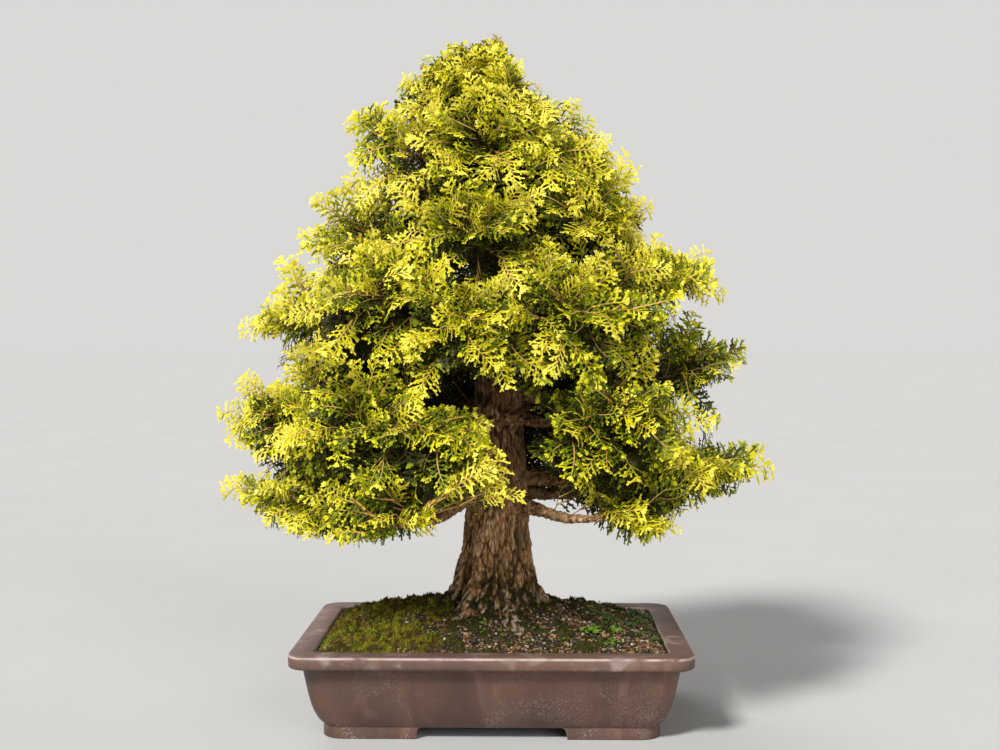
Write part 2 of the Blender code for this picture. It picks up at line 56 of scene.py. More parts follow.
def polar(azimuth):
    angle = math.radians(azimuth)
    return Vector((math.cos(angle), math.sin(angle), 0.0))


def clamp(value, low=0.0, high=1.0):
    return min(high, max(low, value))


def smoothStep(value, low, high):
    share = clamp((value - low) / (high - low))
    return share * share * (3 - 2 * share)


def linked(name, data):
    thing = bpy.data.objects.new(name, data)
    bpy.context.scene.collection.objects.link(thing)
    return thing


def meshOf(name, bm):
    mesh = bpy.data.meshes.new(name)
    bm.to_mesh(mesh)
    bm.free()
    return mesh


def steadyOrder(bm):
    # Extruding leaves edges and faces in another order each run.
    def place(item):
        index = [vert.index for vert in item.verts]
        return min(index) * len(bm.verts) + max(index)

    bm.verts.index_update()
    bm.edges.sort(key=place)
    bm.faces.sort(key=place)


def registerPiece(name, mesh, material, replaced=()):
    mesh.materials.append(material)
    mesh.shade_smooth()
    piece = linked(name, mesh)
    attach(piece, "root")
    if replaced:
        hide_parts(*replaced)
    return piece


def finishPiece(name, bm, material, replaced=()):
    bmesh.ops.recalc_face_normals(bm, faces=bm.faces)
    return registerPiece(name, meshOf(name, bm), material, replaced)


def meshFromArrays(name, points, faces):
    # faces is an array of triangles, each three rows of points
    mesh = bpy.data.meshes.new(name)
    mesh.vertices.add(len(points))
    mesh.vertices.foreach_set("co", np.asarray(points, np.float32).ravel())
    mesh.loops.add(faces.size)
    mesh.loops.foreach_set("vertex_index", np.asarray(faces, np.int32).ravel())
    mesh.polygons.add(len(faces))
    mesh.polygons.foreach_set("loop_start", np.arange(0, faces.size, 3, dtype=np.int32))
    mesh.update(calc_edges=True)
    return mesh


def addFaces(heap, points, faces):
    # A heap is a list of points and one of triangles; these faces count from the first of these points.
    first = len(heap[0])
    heap[0].extend(points)
    heap[1].extend([first + k for k in face] for face in faces)


def joinHeap(name, heap, material, replaced=()):
    # One joined mesh, cut into as many pieces as the limit on triangles asks for.
    points, faces = (np.asarray(rows) for rows in heap)
    count = max(1, math.ceil(len(faces) / mostTriangles))
    for part, some in enumerate(np.array_split(faces, count)):
        used, index = np.unique(some, return_inverse=True)
        label = name if count == 1 else f"{name}_{part + 1}"
        mesh = meshFromArrays(label, points[used], index.reshape(-1, 3))
        registerPiece(label, mesh, material, replaced)


# Shader building: what goes into a socket is another socket to link, or a plain value.

def put(tree, socket, source):
    if isinstance(source, bpy.types.NodeSocket):
        tree.links.new(source, socket)
    else:
        socket.default_value = source


def addNode(tree, kind, sources, **settings):
    node = tree.nodes.new(kind)
    for key, value in settings.items():
        setattr(node, key, value)
    for key, source in sources.items():
        put(tree, node.inputs[key], source)
    return node


def objectCoordinates(tree, upright=1.0):
    # A pattern on these is drawn out along Z where upright is under 1.
    place = addNode(tree, "ShaderNodeTexCoord", {}).outputs["Object"]
    if upright == 1.0:
        return place
    sources = {"Vector": place, "Scale": (1.0, 1.0, upright)}
    return addNode(tree, "ShaderNodeMapping", sources).outputs["Vector"]


def levelIn(tree, place, axis):
    return addNode(tree, "ShaderNodeSeparateXYZ", {"Vector": place}).outputs[axis]


def meshValue(tree, name):
    # A number that the mesh carries at each of its points.
    node = addNode(tree, "ShaderNodeAttribute", {}, attribute_name=name, attribute_type="GEOMETRY")
    return node.outputs["Fac"]


def newMaterial(name, roughness, specular):
    material = bpy.data.materials.new(name)
    material.use_nodes = True
    tree = material.node_tree
    shader = tree.nodes["Principled BSDF"]
    put(tree, shader.inputs["Roughness"], roughness)
    put(tree, shader.inputs["Specular IOR Level"], specular)
    return material, tree, shader, objectCoordinates(tree)


def rangeOf(tree, value, fromLow, fromHigh, toLow=0.0, toHigh=1.0):
    sources = {"Value": value, "From Min": fromLow, "From Max": fromHigh, "To Min": toLow, "To Max": toHigh}
    return addNode(tree, "ShaderNodeMapRange", sources, interpolation_type="SMOOTHSTEP").outputs["Result"]


def mixColour(tree, low, high, share, *factors):
    # A colour is three numbers or a socket; the share of high is multiplied by each of the factors.
    for factor in factors:
        share = addNode(tree, "ShaderNodeMath", {0: share, 1: factor}, operation="MULTIPLY").outputs["Value"]
    low, high = ((*colour, 1.0) if isinstance(colour, tuple) else colour for colour in (low, high))
    return addNode(tree, "ShaderNodeMix", {0: share, 6: low, 7: high}, data_type="RGBA").outputs[2]


def newGroup(name, numbers, output):
    group = bpy.data.node_groups.new(name, "ShaderNodeTree")
    group.interface.new_socket("Vector", in_out="INPUT", socket_type="NodeSocketVector")
    for label, value in numbers.items():
        socket = group.interface.new_socket(label, in_out="INPUT", socket_type="NodeSocketFloat")
        socket.default_value = value
    group.interface.new_socket(output, in_out="OUTPUT", socket_type="NodeSocketFloat")
    given = group.nodes.new("NodeGroupInput").outputs
    return group, given, group.nodes.new("NodeGroupOutput").inputs[output]


def blotchGroup():
    # Blotches of a size: a mask from 0 to 1 with soft edges between Low and High.
    numbers = {"Scale": 20.0, "Detail": 4.0, "Warp": 0.0, "Low": 0.4, "High": 0.6}
    group, given, result = newGroup("blotches", numbers, "Mask")
    sources = {key: given[key] for key in ("Vector", "Scale", "Detail")}
    pattern = addNode(group, "ShaderNodeTexNoise", {**sources, "Distortion": given["Warp"]})
    put(group, result, rangeOf(group, pattern.outputs["Fac"], given["Low"], given["High"]))
    return group


def grainGroup():
    # A height of coarse lumps with finer grain on them, for bump.
    group, given, result = newGroup("grain", {"Coarse": 120.0, "Fine": 700.0, "Fine Share": 0.4}, "Height")
    place = given["Vector"]
    lumps, specks = (
        addNode(group, "ShaderNodeTexNoise", {"Vector": place, "Scale": given[size], "Detail": detail})
        for size, detail in (("Coarse", 3.0), ("Fine", 2.0))
    )
    sources = {0: given["Fine Share"], 2: lumps.outputs["Fac"], 3: specks.outputs["Fac"]}
    put(group, result, addNode(group, "ShaderNodeMix", sources, data_type="FLOAT").outputs[0])
    return group


blotches = blotchGroup()
grain = grainGroup()


def maskOf(tree, place, scale, detail, low, high, warp=0.0):
    sources = {"Vector": place, "Scale": scale, "Detail": detail, "Warp": warp, "Low": low, "High": high}
    return addNode(tree, "ShaderNodeGroup", sources, node_tree=blotches).outputs["Mask"]


def grainOf(tree, place, coarse, fine, fineShare):
    sources = {"Vector": place, "Coarse": coarse, "Fine": fine, "Fine Share": fineShare}
    return addNode(tree, "ShaderNodeGroup", sources, node_tree=grain).outputs["Height"]


def addGrain(tree, shader, place, coarse, fine, fineShare, strength, distance):
    height = grainOf(tree, place, coarse, fine, fineShare)
    bump = addNode(tree, "ShaderNodeBump", {"Height": height, "Strength": strength, "Distance": distance})
    put(tree, shader.inputs["Normal"], bump.outputs["Normal"])


# Plain surfaces: blotches between a darker and a lighter tone, and a grain.
# tone: scale, detail, low, high; grain: coarse, fine, share of the fine, strength, depth

surfaces = {
    "leaf": {
        "roughness": 0.62, "specular": 0.14, "dark": 0.80, "tone": (260.0, 3.0, 0.34, 0.66),
        "gloss": (0.58, 0.44), "grain": (900.0, 2200.0, 0.3, 0.30, 0.0006),
    },
    "stone": {
        "roughness": 0.75, "specular": 0.35, "dark": 0.55, "tone": (480.0, 3.0, 0.34, 0.66),
        "grain": (900.0, 2600.0, 0.5, 0.6, 0.0008),
    },
    "stem": {
        "roughness": 0.7, "specular": 0.3, "tone": (120.0, 4.0, 0.35, 0.65),
        "grain": (500.0, 1600.0, 0.4, 0.5, 0.0008),
    },
    "paper": {"roughness": 0.85, "specular": 0.0, "dark": 0.97, "tone": (3.0, 2.0, 0.3, 0.7)},
}


def plainMaterial(name, kind, colour, darker=None):
    look = surfaces[kind]
    material, tree, shader, place = newMaterial(name, look["roughness"], look["specular"])
    tone = maskOf(tree, place, *look["tone"])
    darker = darker or tuple(value * look["dark"] for value in colour)
    put(tree, shader.inputs["Base Color"], mixColour(tree, darker, colour, tone))
    if "gloss" in look:
        put(tree, shader.inputs["Roughness"], rangeOf(tree, tone, 0.0, 1.0, *look["gloss"]))
    if "grain" in look:
        addGrain(tree, shader, place, *look["grain"])
    return material


# Pot: a rounded rectangle carried up ring by ring, with a rolled lip and four corner feet.

pot = {
    "length": 0.406, "depth": 0.280, "height": 0.090,
    "rimHeight": 0.014, "rimWidth": 0.024, "rimRound": 0.0028, "innerRound": 0.0015,
    "bodyInsetTop": 0.0115, "bodyInsetFoot": 0.031, "slope": 0.60, "curve": 6.0,
    "wall": 0.012, "footHeight": 0.012, "footWidth": 0.016, "footRound": 0.0015, "footEdge": 0.0004,
    "underside": 0.014, "floorTop": 0.024,
    "rimCorner": 0.020, "bodyCorner": 0.022, "innerCorner": 0.010,
    "notchLength": 0.158, "notchDepth": 0.092, "notchSlope": 0.005, "notchRound": 0.0035, "notchBelow": 0.01,
    "drainRadius": 0.011, "drainSpread": 0.090,
    "cornerSteps": 8, "sideSteps": 22, "bodyRings": 16, "innerRings": 7, "handMade": 0.00035, "sharpFrom": 42,
}
clayLook = {
    "dark": (0.066, 0.034, 0.024), "mid": (0.118, 0.055, 0.037), "rubbedAndLit": (0.200, 0.117, 0.090),
    "mineral": (0.50, 0.41, 0.36), "olive": (0.078, 0.055, 0.039), "roughness": 0.58, "specular": 0.45,
}


def clayMaterial():
    look, rim = clayLook, pot["height"]
    material, tree, shader, place = newMaterial("clay", look["roughness"], look["specular"])
    tall = objectCoordinates(tree, 0.35)
    height = levelIn(tree, place, "Z")
    colour = mixColour(tree, look["dark"], look["mid"], maskOf(tree, tall, 16.0, 6.0, 0.34, 0.66, 0.6))
    colour = mixColour(tree, colour, look["olive"], maskOf(tree, place, 24.0, 5.0, 0.46, 0.72, 0.8), 0.55)
    # lime blooms on the body, then a crust of salt along the foot and under the lip
    bloom = maskOf(tree, tall, 34.0, 8.0, 0.50, 0.74, 1.2)
    colour = mixColour(tree, colour, look["rubbedAndLit"], bloom, rangeOf(tree, height, 0.040, 0.080, 0.25, 0.60))
    salt = maskOf(tree, place, 620.0, 9.0, 0.46, 0.80, 0.1)
    patches = maskOf(tree, place, 17.0, 6.0, 0.44, 0.70, 1.0)
    low = rangeOf(tree, height, 0.060, 0.006, 0.22, 0.85)
    colour = mixColour(tree, colour, look["mineral"], salt, patches, low)
    # the lip is paler, partly scuffed and partly painted light from above, with a line along its edges that
    # is partly worn and partly a painted highlight
    top = rangeOf(tree, height, rim - 0.0150, rim - 0.0005, 0.0, 0.40)
    colour = mixColour(tree, colour, look["rubbedAndLit"], top)
    lip = rangeOf(tree, height, rim - 0.0160, rim - 0.0120, 0.0, 0.48)
    colour = mixColour(tree, colour, look["mineral"], maskOf(tree, place, 52.0, 10.0, 0.50, 0.86, 0.5), lip)
    # painted highlight, partly real scuffing, along the lip's upper edge
    rises = rangeOf(tree, height, rim - 0.0036, rim - 0.0020)
    falls = rangeOf(tree, height, rim - 0.0004, rim - 0.0011)
    wearAndHighlight = maskOf(tree, place, 46.0, 6.0, 0.30, 0.58, 0.5)
    colour = mixColour(tree, colour, look["mineral"], rises, falls, wearAndHighlight, 0.75)
    put(tree, shader.inputs["Base Color"], colour)
    put(tree, shader.inputs["Roughness"], rangeOf(tree, bloom, 0.0, 1.0, 0.50, 0.74))
    addGrain(tree, shader, place, 160.0, 900.0, 0.45, 0.35, 0.0012)
    return material


def roundedLoop(inset, corner, z):
    # The corners' arcs, joined by sides that are cut into even steps.
    halfX = pot["length"] / 2 - inset
    halfY = pot["depth"] / 2 - inset
    steps = pot["cornerSteps"]
    arcs = []
    for quarter, (signX, signY) in enumerate(((1, 1), (-1, 1), (-1, -1), (1, -1))):
        for step in range(steps + 1):
            angle = math.radians(90 * quarter + 90 * step / steps)
            x = signX * (halfX - corner) + corner * math.cos(angle)
            y = signY * (halfY - corner) + corner * math.sin(angle)
            arcs.append(Vector((x, y, z)))
    points = []
    for i, point in enumerate(arcs):
        points.append(point)
        if (i + 1) % (steps + 1) == 0:
            after = arcs[(i + 1) % len(arcs)]
            points += [point.lerp(after, step / pot["sideSteps"]) for step in range(1, pot["sideSteps"])]
    return points


def bodyInset(z):
    top = pot["height"] - pot["rimHeight"]
    down = max(0.0, (top - z) / (top - pot["footHeight"]))
    share = pot["slope"] * down + (1 - pot["slope"]) * down ** pot["curve"]
    return pot["bodyInsetTop"] + (pot["bodyInsetFoot"] - pot["bodyInsetTop"]) * share


def innerInset(z):
    if z >= pot["height"] - pot["rimHeight"]:
        return pot["rimWidth"]
    return max(pot["rimWidth"], bodyInset(z) + pot["wall"])


def rolled(angles, radius):
    # How far in and how far up a rounded edge is at each angle.
    for angle in map(math.radians, angles):
        yield radius * (1 - math.cos(angle)), radius * math.sin(angle)


def potProfile():
    # (inset, corner, height) of each ring, from the underside round the outside and down the inside.
    height, foot, turn = pot["height"], pot["bodyInsetFoot"], pot["rimRound"]
    body, inner, rim = pot["bodyCorner"], pot["innerCorner"], pot["rimCorner"]
    top = height - pot["rimHeight"]
    rows = [(foot + pot["footWidth"], inner, z) for z in (pot["underside"], 0.0)]
    rows.append((foot + pot["footRound"], body, 0.0))
    rows.append((foot + pot["footEdge"], body, pot["footEdge"]))
    rows += [(foot, body, z) for z in (pot["footRound"], pot["footHeight"] * 0.6, pot["footHeight"])]
    for step in range(1, pot["bodyRings"] + 1):
        z = pot["footHeight"] + (top - pot["footHeight"]) * (step / pot["bodyRings"]) ** 1.5
        rows.append((bodyInset(z), body, z))
    rows += [(inset, rim, top + turn + rise) for inset, rise in rolled((-90, -60, -30, 0), turn)]
    rows.append((0.0, rim, top + turn * 1.4))
    rows += [(inset, rim, height - turn + rise) for inset, rise in rolled((0, 22, 45, 67, 90), turn)]
    rows.append((pot["rimWidth"] * 0.5, (rim + inner) / 2, height))
    edge = pot["innerRound"]
    for angle in map(math.radians, (90, 45, 0)):
        inset = pot["rimWidth"] - edge * (1 - math.cos(angle))
        rows.append((inset, inner, height - edge * (1 - math.sin(angle))))
    for step in range(1, pot["innerRings"] + 1):
        z = height + (pot["floorTop"] - height) * step / pot["innerRings"]
        rows.append((innerInset(z), inner, z))
    return rows


def notchCutter(length, across):
    # A long block whose upper edges are rounded, so that the feet end in a soft curve.
    bm = bmesh.new()
    bmesh.ops.create_cube(bm, size=1.0)
    height = pot["footHeight"] + pot["notchBelow"]
    bmesh.ops.scale(bm, verts=bm.verts, vec=(length, 1.0, height))
    bmesh.ops.translate(bm, verts=bm.verts, vec=(0.0, 0.0, height / 2 - pot["notchBelow"]))
    for vert in bm.verts:
        if vert.co.z > 0:
            vert.co.x *= 1 - 2 * pot["notchSlope"] / length
    upper = [
        edge for edge in bm.edges
        if all(v.co.z > 0 for v in edge.verts) and abs(edge.verts[0].co.y - edge.verts[1].co.y) > 0.5
    ]
    bmesh.ops.bevel(
        bm, geom=upper, offset=pot["notchRound"], offset_type="OFFSET", affect="EDGES", segments=4,
        profile=0.5, material=-1,
    )
    if across:
        quarterTurn = Vector((0.0, 1.0, 0.0)).rotation_difference(Vector((1.0, 0.0, 0.0))).to_matrix()
        bmesh.ops.rotate(bm, verts=bm.verts, cent=(0, 0, 0), matrix=quarterTurn)
    return bm


def drainCutter(x):
    bm = bmesh.new()
    radius = pot["drainRadius"]
    bmesh.ops.create_cone(bm, cap_ends=True, segments=32, radius1=radius, radius2=radius, depth=0.03)
    bmesh.ops.translate(bm, verts=bm.verts, vec=(x, 0.0, (pot["underside"] + pot["floorTop"]) / 2))
    return bm


def cutWith(piece, cutters):
    helpers = []
    for bm in cutters:
        bmesh.ops.recalc_face_normals(bm, faces=bm.faces)
        helpers.append(linked("cutter", meshOf("cutter", bm)))
        modifier = piece.modifiers.new("cut", "BOOLEAN")
        modifier.operation = "DIFFERENCE"
        modifier.solver = "EXACT"
        modifier.object = helpers[-1]
    graph = bpy.context.evaluated_depsgraph_get()
    mesh = bpy.data.meshes.new_from_object(piece.evaluated_get(graph))
    piece.modifiers.clear()
    piece.data = mesh
    for helper in helpers:
        bpy.data.objects.remove(helper, do_unlink=True)


def buildPot():
    rows = potProfile()
    bm = bmesh.new()
    first = [bm.verts.new(point) for point in roundedLoop(*rows[0])]
    ring = [bm.edges.new((first[i], first[(i + 1) % len(first)])) for i in range(len(first))]
    bmesh.ops.contextual_create(bm, geom=ring)
    for row in rows[1:]:
        grown = bmesh.ops.extrude_edge_only(bm, edges=ring)["geom"]
        ring = [item for item in grown if isinstance(item, bmesh.types.BMEdge)]
        verts = [item for item in grown if isinstance(item, bmesh.types.BMVert)]
        for vert, target in zip(verts, roundedLoop(*row)):
            vert.co = target
    bmesh.ops.contextual_create(bm, geom=ring)
    for vert in bm.verts:
        if pot["footHeight"] < vert.co.z < pot["height"] - 0.001:
            lump = noise.noise(vert.co * 22.0)
            side = Vector((vert.co.x, vert.co.y, 0.0)).normalized()
            vert.co += side * (pot["handMade"] * (lump - 1.0))
    steadyOrder(bm)
    piece = finishPiece("pot_clay", bm, clayMaterial(), ("pot",))
    spread = pot["drainSpread"]
    notches = [notchCutter(pot["notchLength"], False), notchCutter(pot["notchDepth"], True)]
    cutWith(piece, notches + [drainCutter(-spread), drainCutter(spread)])
    piece.data.set_sharp_from_angle(angle=math.radians(pot["sharpFrom"]))


buildPot()
print("pot done")


# Trunk: the limb rule of the solids, repeated here, with bark relief on it.

trunk = {
    "ground": 0.100, "tip": 0.690, "radius": 0.0375, "tipRadius": 0.0018, "taper": 0.90,
    "flare": 0.023, "flareHeight": 0.030, "rootWidth": 12.5, "rootHeight": 0.022,
    "lean": ((0.100, 0.003, 0.002), (0.330, 0.005, 0.000), (0.480, -0.004, 0.004), (0.690, -0.008, 0.000)),
    # azimuth and reach of each root
    "roots": (
        (200.0, 0.060), (236.0, 0.040), (262.0, 0.014), (285.0, 0.028), (320.0, 0.020),
        (350.0, 0.026), (42.0, 0.022), (98.0, 0.026), (150.0, 0.024),
    ),
    "around": 236, "along": 340, "crowding": 1.15,
}
bark = {
    "ribs": 0.012, "ribsHeight": 0.050, "ribsAbove": 0.003, "plateWidth": 0.0080, "plateLength": 0.078,
    "depth": 0.0046, "fibre": 0.0016, "crackWidth": 0.24,
    "ridge": (0.800, 0.535, 0.292), "middle": (0.400, 0.195, 0.073), "fissure": (0.034, 0.015, 0.007),
    "rust": (0.240, 0.080, 0.028), "algae": (0.020, 0.026, 0.008), "lichen": (0.130, 0.130, 0.060),
    "root": (0.640, 0.520, 0.380), "roughness": 0.88, "specular": 0.25,
}


def trunkAxis(z):
    rows = trunk["lean"]
    for low, high in zip(rows, rows[1:]):
        if z <= high[0]:
            share = smoothStep(z, low[0], high[0])
            return Vector((low[1] + (high[1] - low[1]) * share, low[2] + (high[2] - low[2]) * share, z))
    return Vector((rows[-1][1], rows[-1][2], z))


def trunkCore(z):
    left = clamp((trunk["tip"] - z) / (trunk["tip"] - trunk["ground"]))
    flare = trunk["flare"] * math.exp(-(z - trunk["ground"]) / trunk["flareHeight"])
    return trunk["tipRadius"] + trunk["radius"] * left ** trunk["taper"] + flare


def trunkRadius(z, azimuth):
    radius = trunkCore(z)
    for rootAzimuth, reach in trunk["roots"]:
        turn = (azimuth - rootAzimuth + 180) % 360 - 180
        fall = (z - trunk["ground"]) / trunk["rootHeight"]
        radius += reach * math.exp(-((turn / trunk["rootWidth"]) ** 2) - fall)
    return radius


def trunkScale(z):
    # How large the bark's plates are at a height, against those near the foot.
    return 0.25 + 0.75 * trunkCore(z) / trunkCore(trunk["ground"] + 0.03)


def buttress(z, angle):
    # Uneven ribs that grow towards the roots.
    ring = Vector((math.cos(angle) * 2.6, math.sin(angle) * 2.6, z * 5.0))
    depth = bark["ribs"] * math.exp(-(z - trunk["ground"]) / bark["ribsHeight"]) + bark["ribsAbove"]
    return depth * noise.noise(ring)


def barkRelief(point, scale):
    # Height in metres, how deep in a fissure, and how high on a flake.
    # Plates run up the limb; scale is less on thin limbs.
    width = bark["plateWidth"] * scale
    length = bark["plateLength"] * scale
    warp = noise.noise_vector(Vector((point.x, point.y, point.z * 0.5)) * (0.22 / width)) * 0.9
    warp += noise.noise_vector(Vector((point.x, point.y, point.z * 0.35)) * (0.9 / width)) * 0.28
    apart, centres = noise.voronoi(Vector((point.x / width, point.y / width, point.z / length)) + warp)
    crack = (1.0 - smoothStep(apart[1] - apart[0], 0.0, bark["crackWidth"]))
    crack *= smoothStep(warp.x + warp.y, -1.0, -0.1)
    plate = noise.noise(centres[0] * 7.3)
    fibres = noise.noise(Vector((point.x, point.y, point.z * 0.14)) * (4.6 / width))
    flakes = noise.noise(Vector((point.x, point.y, point.z * 0.45)) * (2.4 / width))
    height = bark["depth"] * scale * (0.75 * plate + 0.35 * (0.5 - apart[0]) - 0.80 * crack)
    height += bark["fibre"] * scale * (fibres + 1.1 * flakes)
    rise = clamp(0.44 + 0.40 * plate + 0.85 * fibres + 0.60 * flakes - 0.35 * crack)
    return height, crack, rise


def barkMaterial():
    material, tree, shader, place = newMaterial("bark", bark["roughness"], bark["specular"])
    drawn = objectCoordinates(tree, 0.16)
    depth, rise = (meshValue(tree, name) for name in ("fissure", "flake"))
    height = levelIn(tree, place, "Z")
    mottle = maskOf(tree, drawn, 190.0, 6.0, 0.30, 0.66, 0.5)
    lit = rangeOf(tree, rise, 0.22, 0.80, 0.06, 1.0)
    colour = mixColour(tree, bark["middle"], bark["ridge"], lit, mottle)
    streaks = rangeOf(tree, grainOf(tree, drawn, 620.0, 1500.0, 0.4), 0.52, 0.38, 0.0, 0.70)
    colour = mixColour(tree, colour, bark["fissure"], streaks)
    colour = mixColour(tree, colour, bark["rust"], maskOf(tree, drawn, 60.0, 4.0, 0.50, 0.72, 0.8), 0.65)
    # painted shade: the deeper in a fissure, the darker the bark
    colour = mixColour(tree, colour, bark["fissure"], rangeOf(tree, depth, 0.25, 1.0, 0.0, 0.92))
    # the roots are worn pale, lichen films the rest and algae climb from the soil
    worn = rangeOf(tree, height, 0.142, 0.112)
    colour = mixColour(tree, colour, bark["root"], worn, rangeOf(tree, rise, 0.35, 0.75), 0.70)
    colour = mixColour(tree, colour, bark["lichen"], maskOf(tree, place, 30.0, 6.0, 0.46, 0.70, 0.6), 0.45)
    green = maskOf(tree, place, 46.0, 9.0, 0.34, 0.52, 0.7)
    low = rangeOf(tree, height, 0.172, 0.128)
    hollow = rangeOf(tree, rise, 0.80, 0.30, 0.30, 1.0)
    colour = mixColour(tree, colour, bark["algae"], green, low, 0.92, hollow)
    put(tree, shader.inputs["Base Color"], colour)
    addGrain(tree, shader, drawn, 560.0, 1700.0, 0.45, 1.0, 0.0034)
    return material


def barkTube(name, around, along, centreAt, radiusAt, scaleAt, replaced):
    # A tube whose surface carries the bark; the fissures' depth is kept on it for the shader, which paints
    # shade into them.
    bm = bmesh.new()
    bmesh.ops.create_grid(bm, x_segments=around, y_segments=along, size=0.5)
    fissures = bm.verts.layers.float.new("fissure")
    flakes = bm.verts.layers.float.new("flake")
    for vert in bm.verts:
        turn, share = vert.co.x + 0.5, vert.co.y + 0.5
        angle = 2 * math.pi * (0.0 if turn > 0.9999 else turn)
        centre, outward = centreAt(share, angle)
        radius = radiusAt(share, angle)
        relief, vert[fissures], vert[flakes] = barkRelief(centre + outward * radius, scaleAt(share))
        vert.co = centre + outward * max(0.0004, radius + relief)
    bmesh.ops.remove_doubles(bm, verts=bm.verts, dist=0.000004)
    bmesh.ops.holes_fill(bm, edges=[edge for edge in bm.edges if edge.is_boundary], sides=0)
    finishPiece(name, bm, barkLook, replaced)


def buildTrunk():
    def levelOf(share):
        return trunk["ground"] + (trunk["tip"] - trunk["ground"]) * share ** trunk["crowding"]

    def centreAt(share, angle):
        return trunkAxis(levelOf(share)), Vector((math.cos(angle), math.sin(angle), 0.0))

    def radiusAt(share, angle):
        level = levelOf(share)
        return trunkRadius(level, math.degrees(angle)) + buttress(level, angle) * (1 - share)

    def scaleAt(share):
        return trunkScale(levelOf(share))

    barkTube("trunk_bark", trunk["around"], trunk["along"], centreAt, radiusAt, scaleAt, ("trunk",))


barkLook = barkMaterial()
buildTrunk()
print("trunk done")


# Limbs: boughs by tier, then the masses whose own stem leaves the trunk.
# name: height on the trunk, azimuth, reach of the furthest spray, height of the tip

boughs = {
    "left_low": (0.240, 191.0, 0.306, 0.230),
    "front_left_low": (0.250, 238.0, 0.270, 0.222),
    "front_right_low": (0.236, 316.0, 0.250, 0.226),
    "right_low": (0.262, 353.0, 0.298, 0.268),
    "back_right_low": (0.244, 38.0, 0.272, 0.240),
    "back_low": (0.270, 88.0, 0.228, 0.246),
    "back_left_low": (0.250, 138.0, 0.276, 0.236),
    "left_second": (0.320, 178.0, 0.306, 0.314),
    "front_left_second": (0.330, 224.0, 0.272, 0.316),
    "front_right_second": (0.330, 314.0, 0.244, 0.322),
    "right_second": (0.346, 5.0, 0.286, 0.374),
    "back_right_second": (0.338, 58.0, 0.254, 0.342),
    "back_left_second": (0.344, 116.0, 0.250, 0.340),
    "left_third": (0.406, 186.0, 0.276, 0.416),
    "front_third": (0.416, 260.0, 0.210, 0.418),
    "front_right_third": (0.424, 306.0, 0.216, 0.426),
    "right_third": (0.434, 352.0, 0.254, 0.468),
    "back_right_third": (0.420, 48.0, 0.232, 0.440),
    "back_left_third": (0.424, 128.0, 0.234, 0.442),
    "front_left_third": (0.440, 224.0, 0.228, 0.446),
    "left_fourth": (0.492, 172.0, 0.222, 0.522),
    "front_fourth": (0.496, 258.0, 0.158, 0.506),
    "right_fourth": (0.508, 8.0, 0.192, 0.546),
    "back_fourth": (0.506, 90.0, 0.166, 0.536),
}
topMasses = {
    "left_fifth": (0.560, 198.0, 0.172, 0.616),
    "right_fifth": (0.570, 342.0, 0.160, 0.612),
    "back_fifth": (0.576, 80.0, 0.134, 0.622),
    "front_fifth": (0.580, 268.0, 0.128, 0.606),
    "left_top": (0.628, 186.0, 0.130, 0.694),
    "right_top": (0.634, 350.0, 0.102, 0.672),
    "back_top": (0.640, 96.0, 0.084, 0.690),
    "front_top": (0.646, 232.0, 0.080, 0.708),
}
limb = {
    "treeTop": 0.730, "leaderRise": 0.018, "boughShare": 0.44, "toTrunk": 0.30, "endRadius": 0.0014,
    "taper": 0.8, "sway": 0.006, "sag": 0.014, "fullSagLength": 0.2, "riseCurve": 1.2,
    "sprayLength": 0.080, "sprayLoss": 0.36, "fullSprayBelow": 0.36,
    "twigs": 20, "turn": 137.5, "shortestTwig": 0.012, "spread": 0.36, "flatten": 0.80,
    "leanRoot": 74.0, "leanTip": 40.0, "leanVaries": 10.0, "stalkVaries": 0.15,
    "around": 20, "along": 70, "alongTop": 36, "collar": 0.55, "collarLength": 0.035, "knobs": 0.12,
}


def limbOf(name, height, azimuth, reach, tipHeight):
    rng = random.Random(name)
    climb = (height - limb["fullSprayBelow"]) / (limb["treeTop"] - limb["fullSprayBelow"])
    spray = limb["sprayLength"] * (1.0 - limb["sprayLoss"] * max(0.0, climb))
    return {
        "name": name, "start": trunkAxis(height), "forward": polar(azimuth), "side": polar(azimuth + 90),
        "reach": reach, "length": reach - spray, "rise": tipHeight - height,
        "sway": limb["sway"] * rng.choice((-1, 1)) * (0.6 + 0.4 * rng.random()),
        "radius": trunkCore(height) * limb["toTrunk"], "trunk": trunkCore(height), "height": height,
        "spray": spray, "bough": name in boughs,
    }


def leaderLimb():
    return {
        "name": "leader", "start": trunkAxis(trunk["tip"]), "forward": up, "side": Vector((1.0, 0.0, 0.0)),
        "reach": limb["treeTop"] - trunk["tip"], "length": limb["leaderRise"], "rise": 0.0, "sway": 0.0,
        "radius": trunk["tipRadius"], "trunk": 0.0, "height": trunk["tip"],
        "spray": limb["treeTop"] - trunk["tip"] - limb["leaderRise"], "bough": False,
    }


def limbPoint(item, share):
    sag = -limb["sag"] * math.sin(math.pi * share) * min(1.0, item["length"] / limb["fullSagLength"])
    point = item["start"] + item["forward"] * (item["length"] * share)
    point += item["side"] * (item["sway"] * math.sin(2 * math.pi * share))
    point.z += item["rise"] * share ** limb["riseCurve"] + (sag if item["trunk"] else 0.0)
    return point


def limbTangent(item, share):
    before = limbPoint(item, max(0.0, share - 0.01))
    return (limbPoint(item, share + 0.01) - before).normalized()


def limbRadius(item, share):
    return limb["endRadius"] + (item["radius"] - limb["endRadius"]) * (1 - share) ** limb["taper"]


def crossFrame(tangent):
    reference = up if abs(tangent.z) < 0.9 else Vector((0, 1, 0))
    side = tangent.cross(reference).normalized()
    return side, side.cross(tangent).normalized()


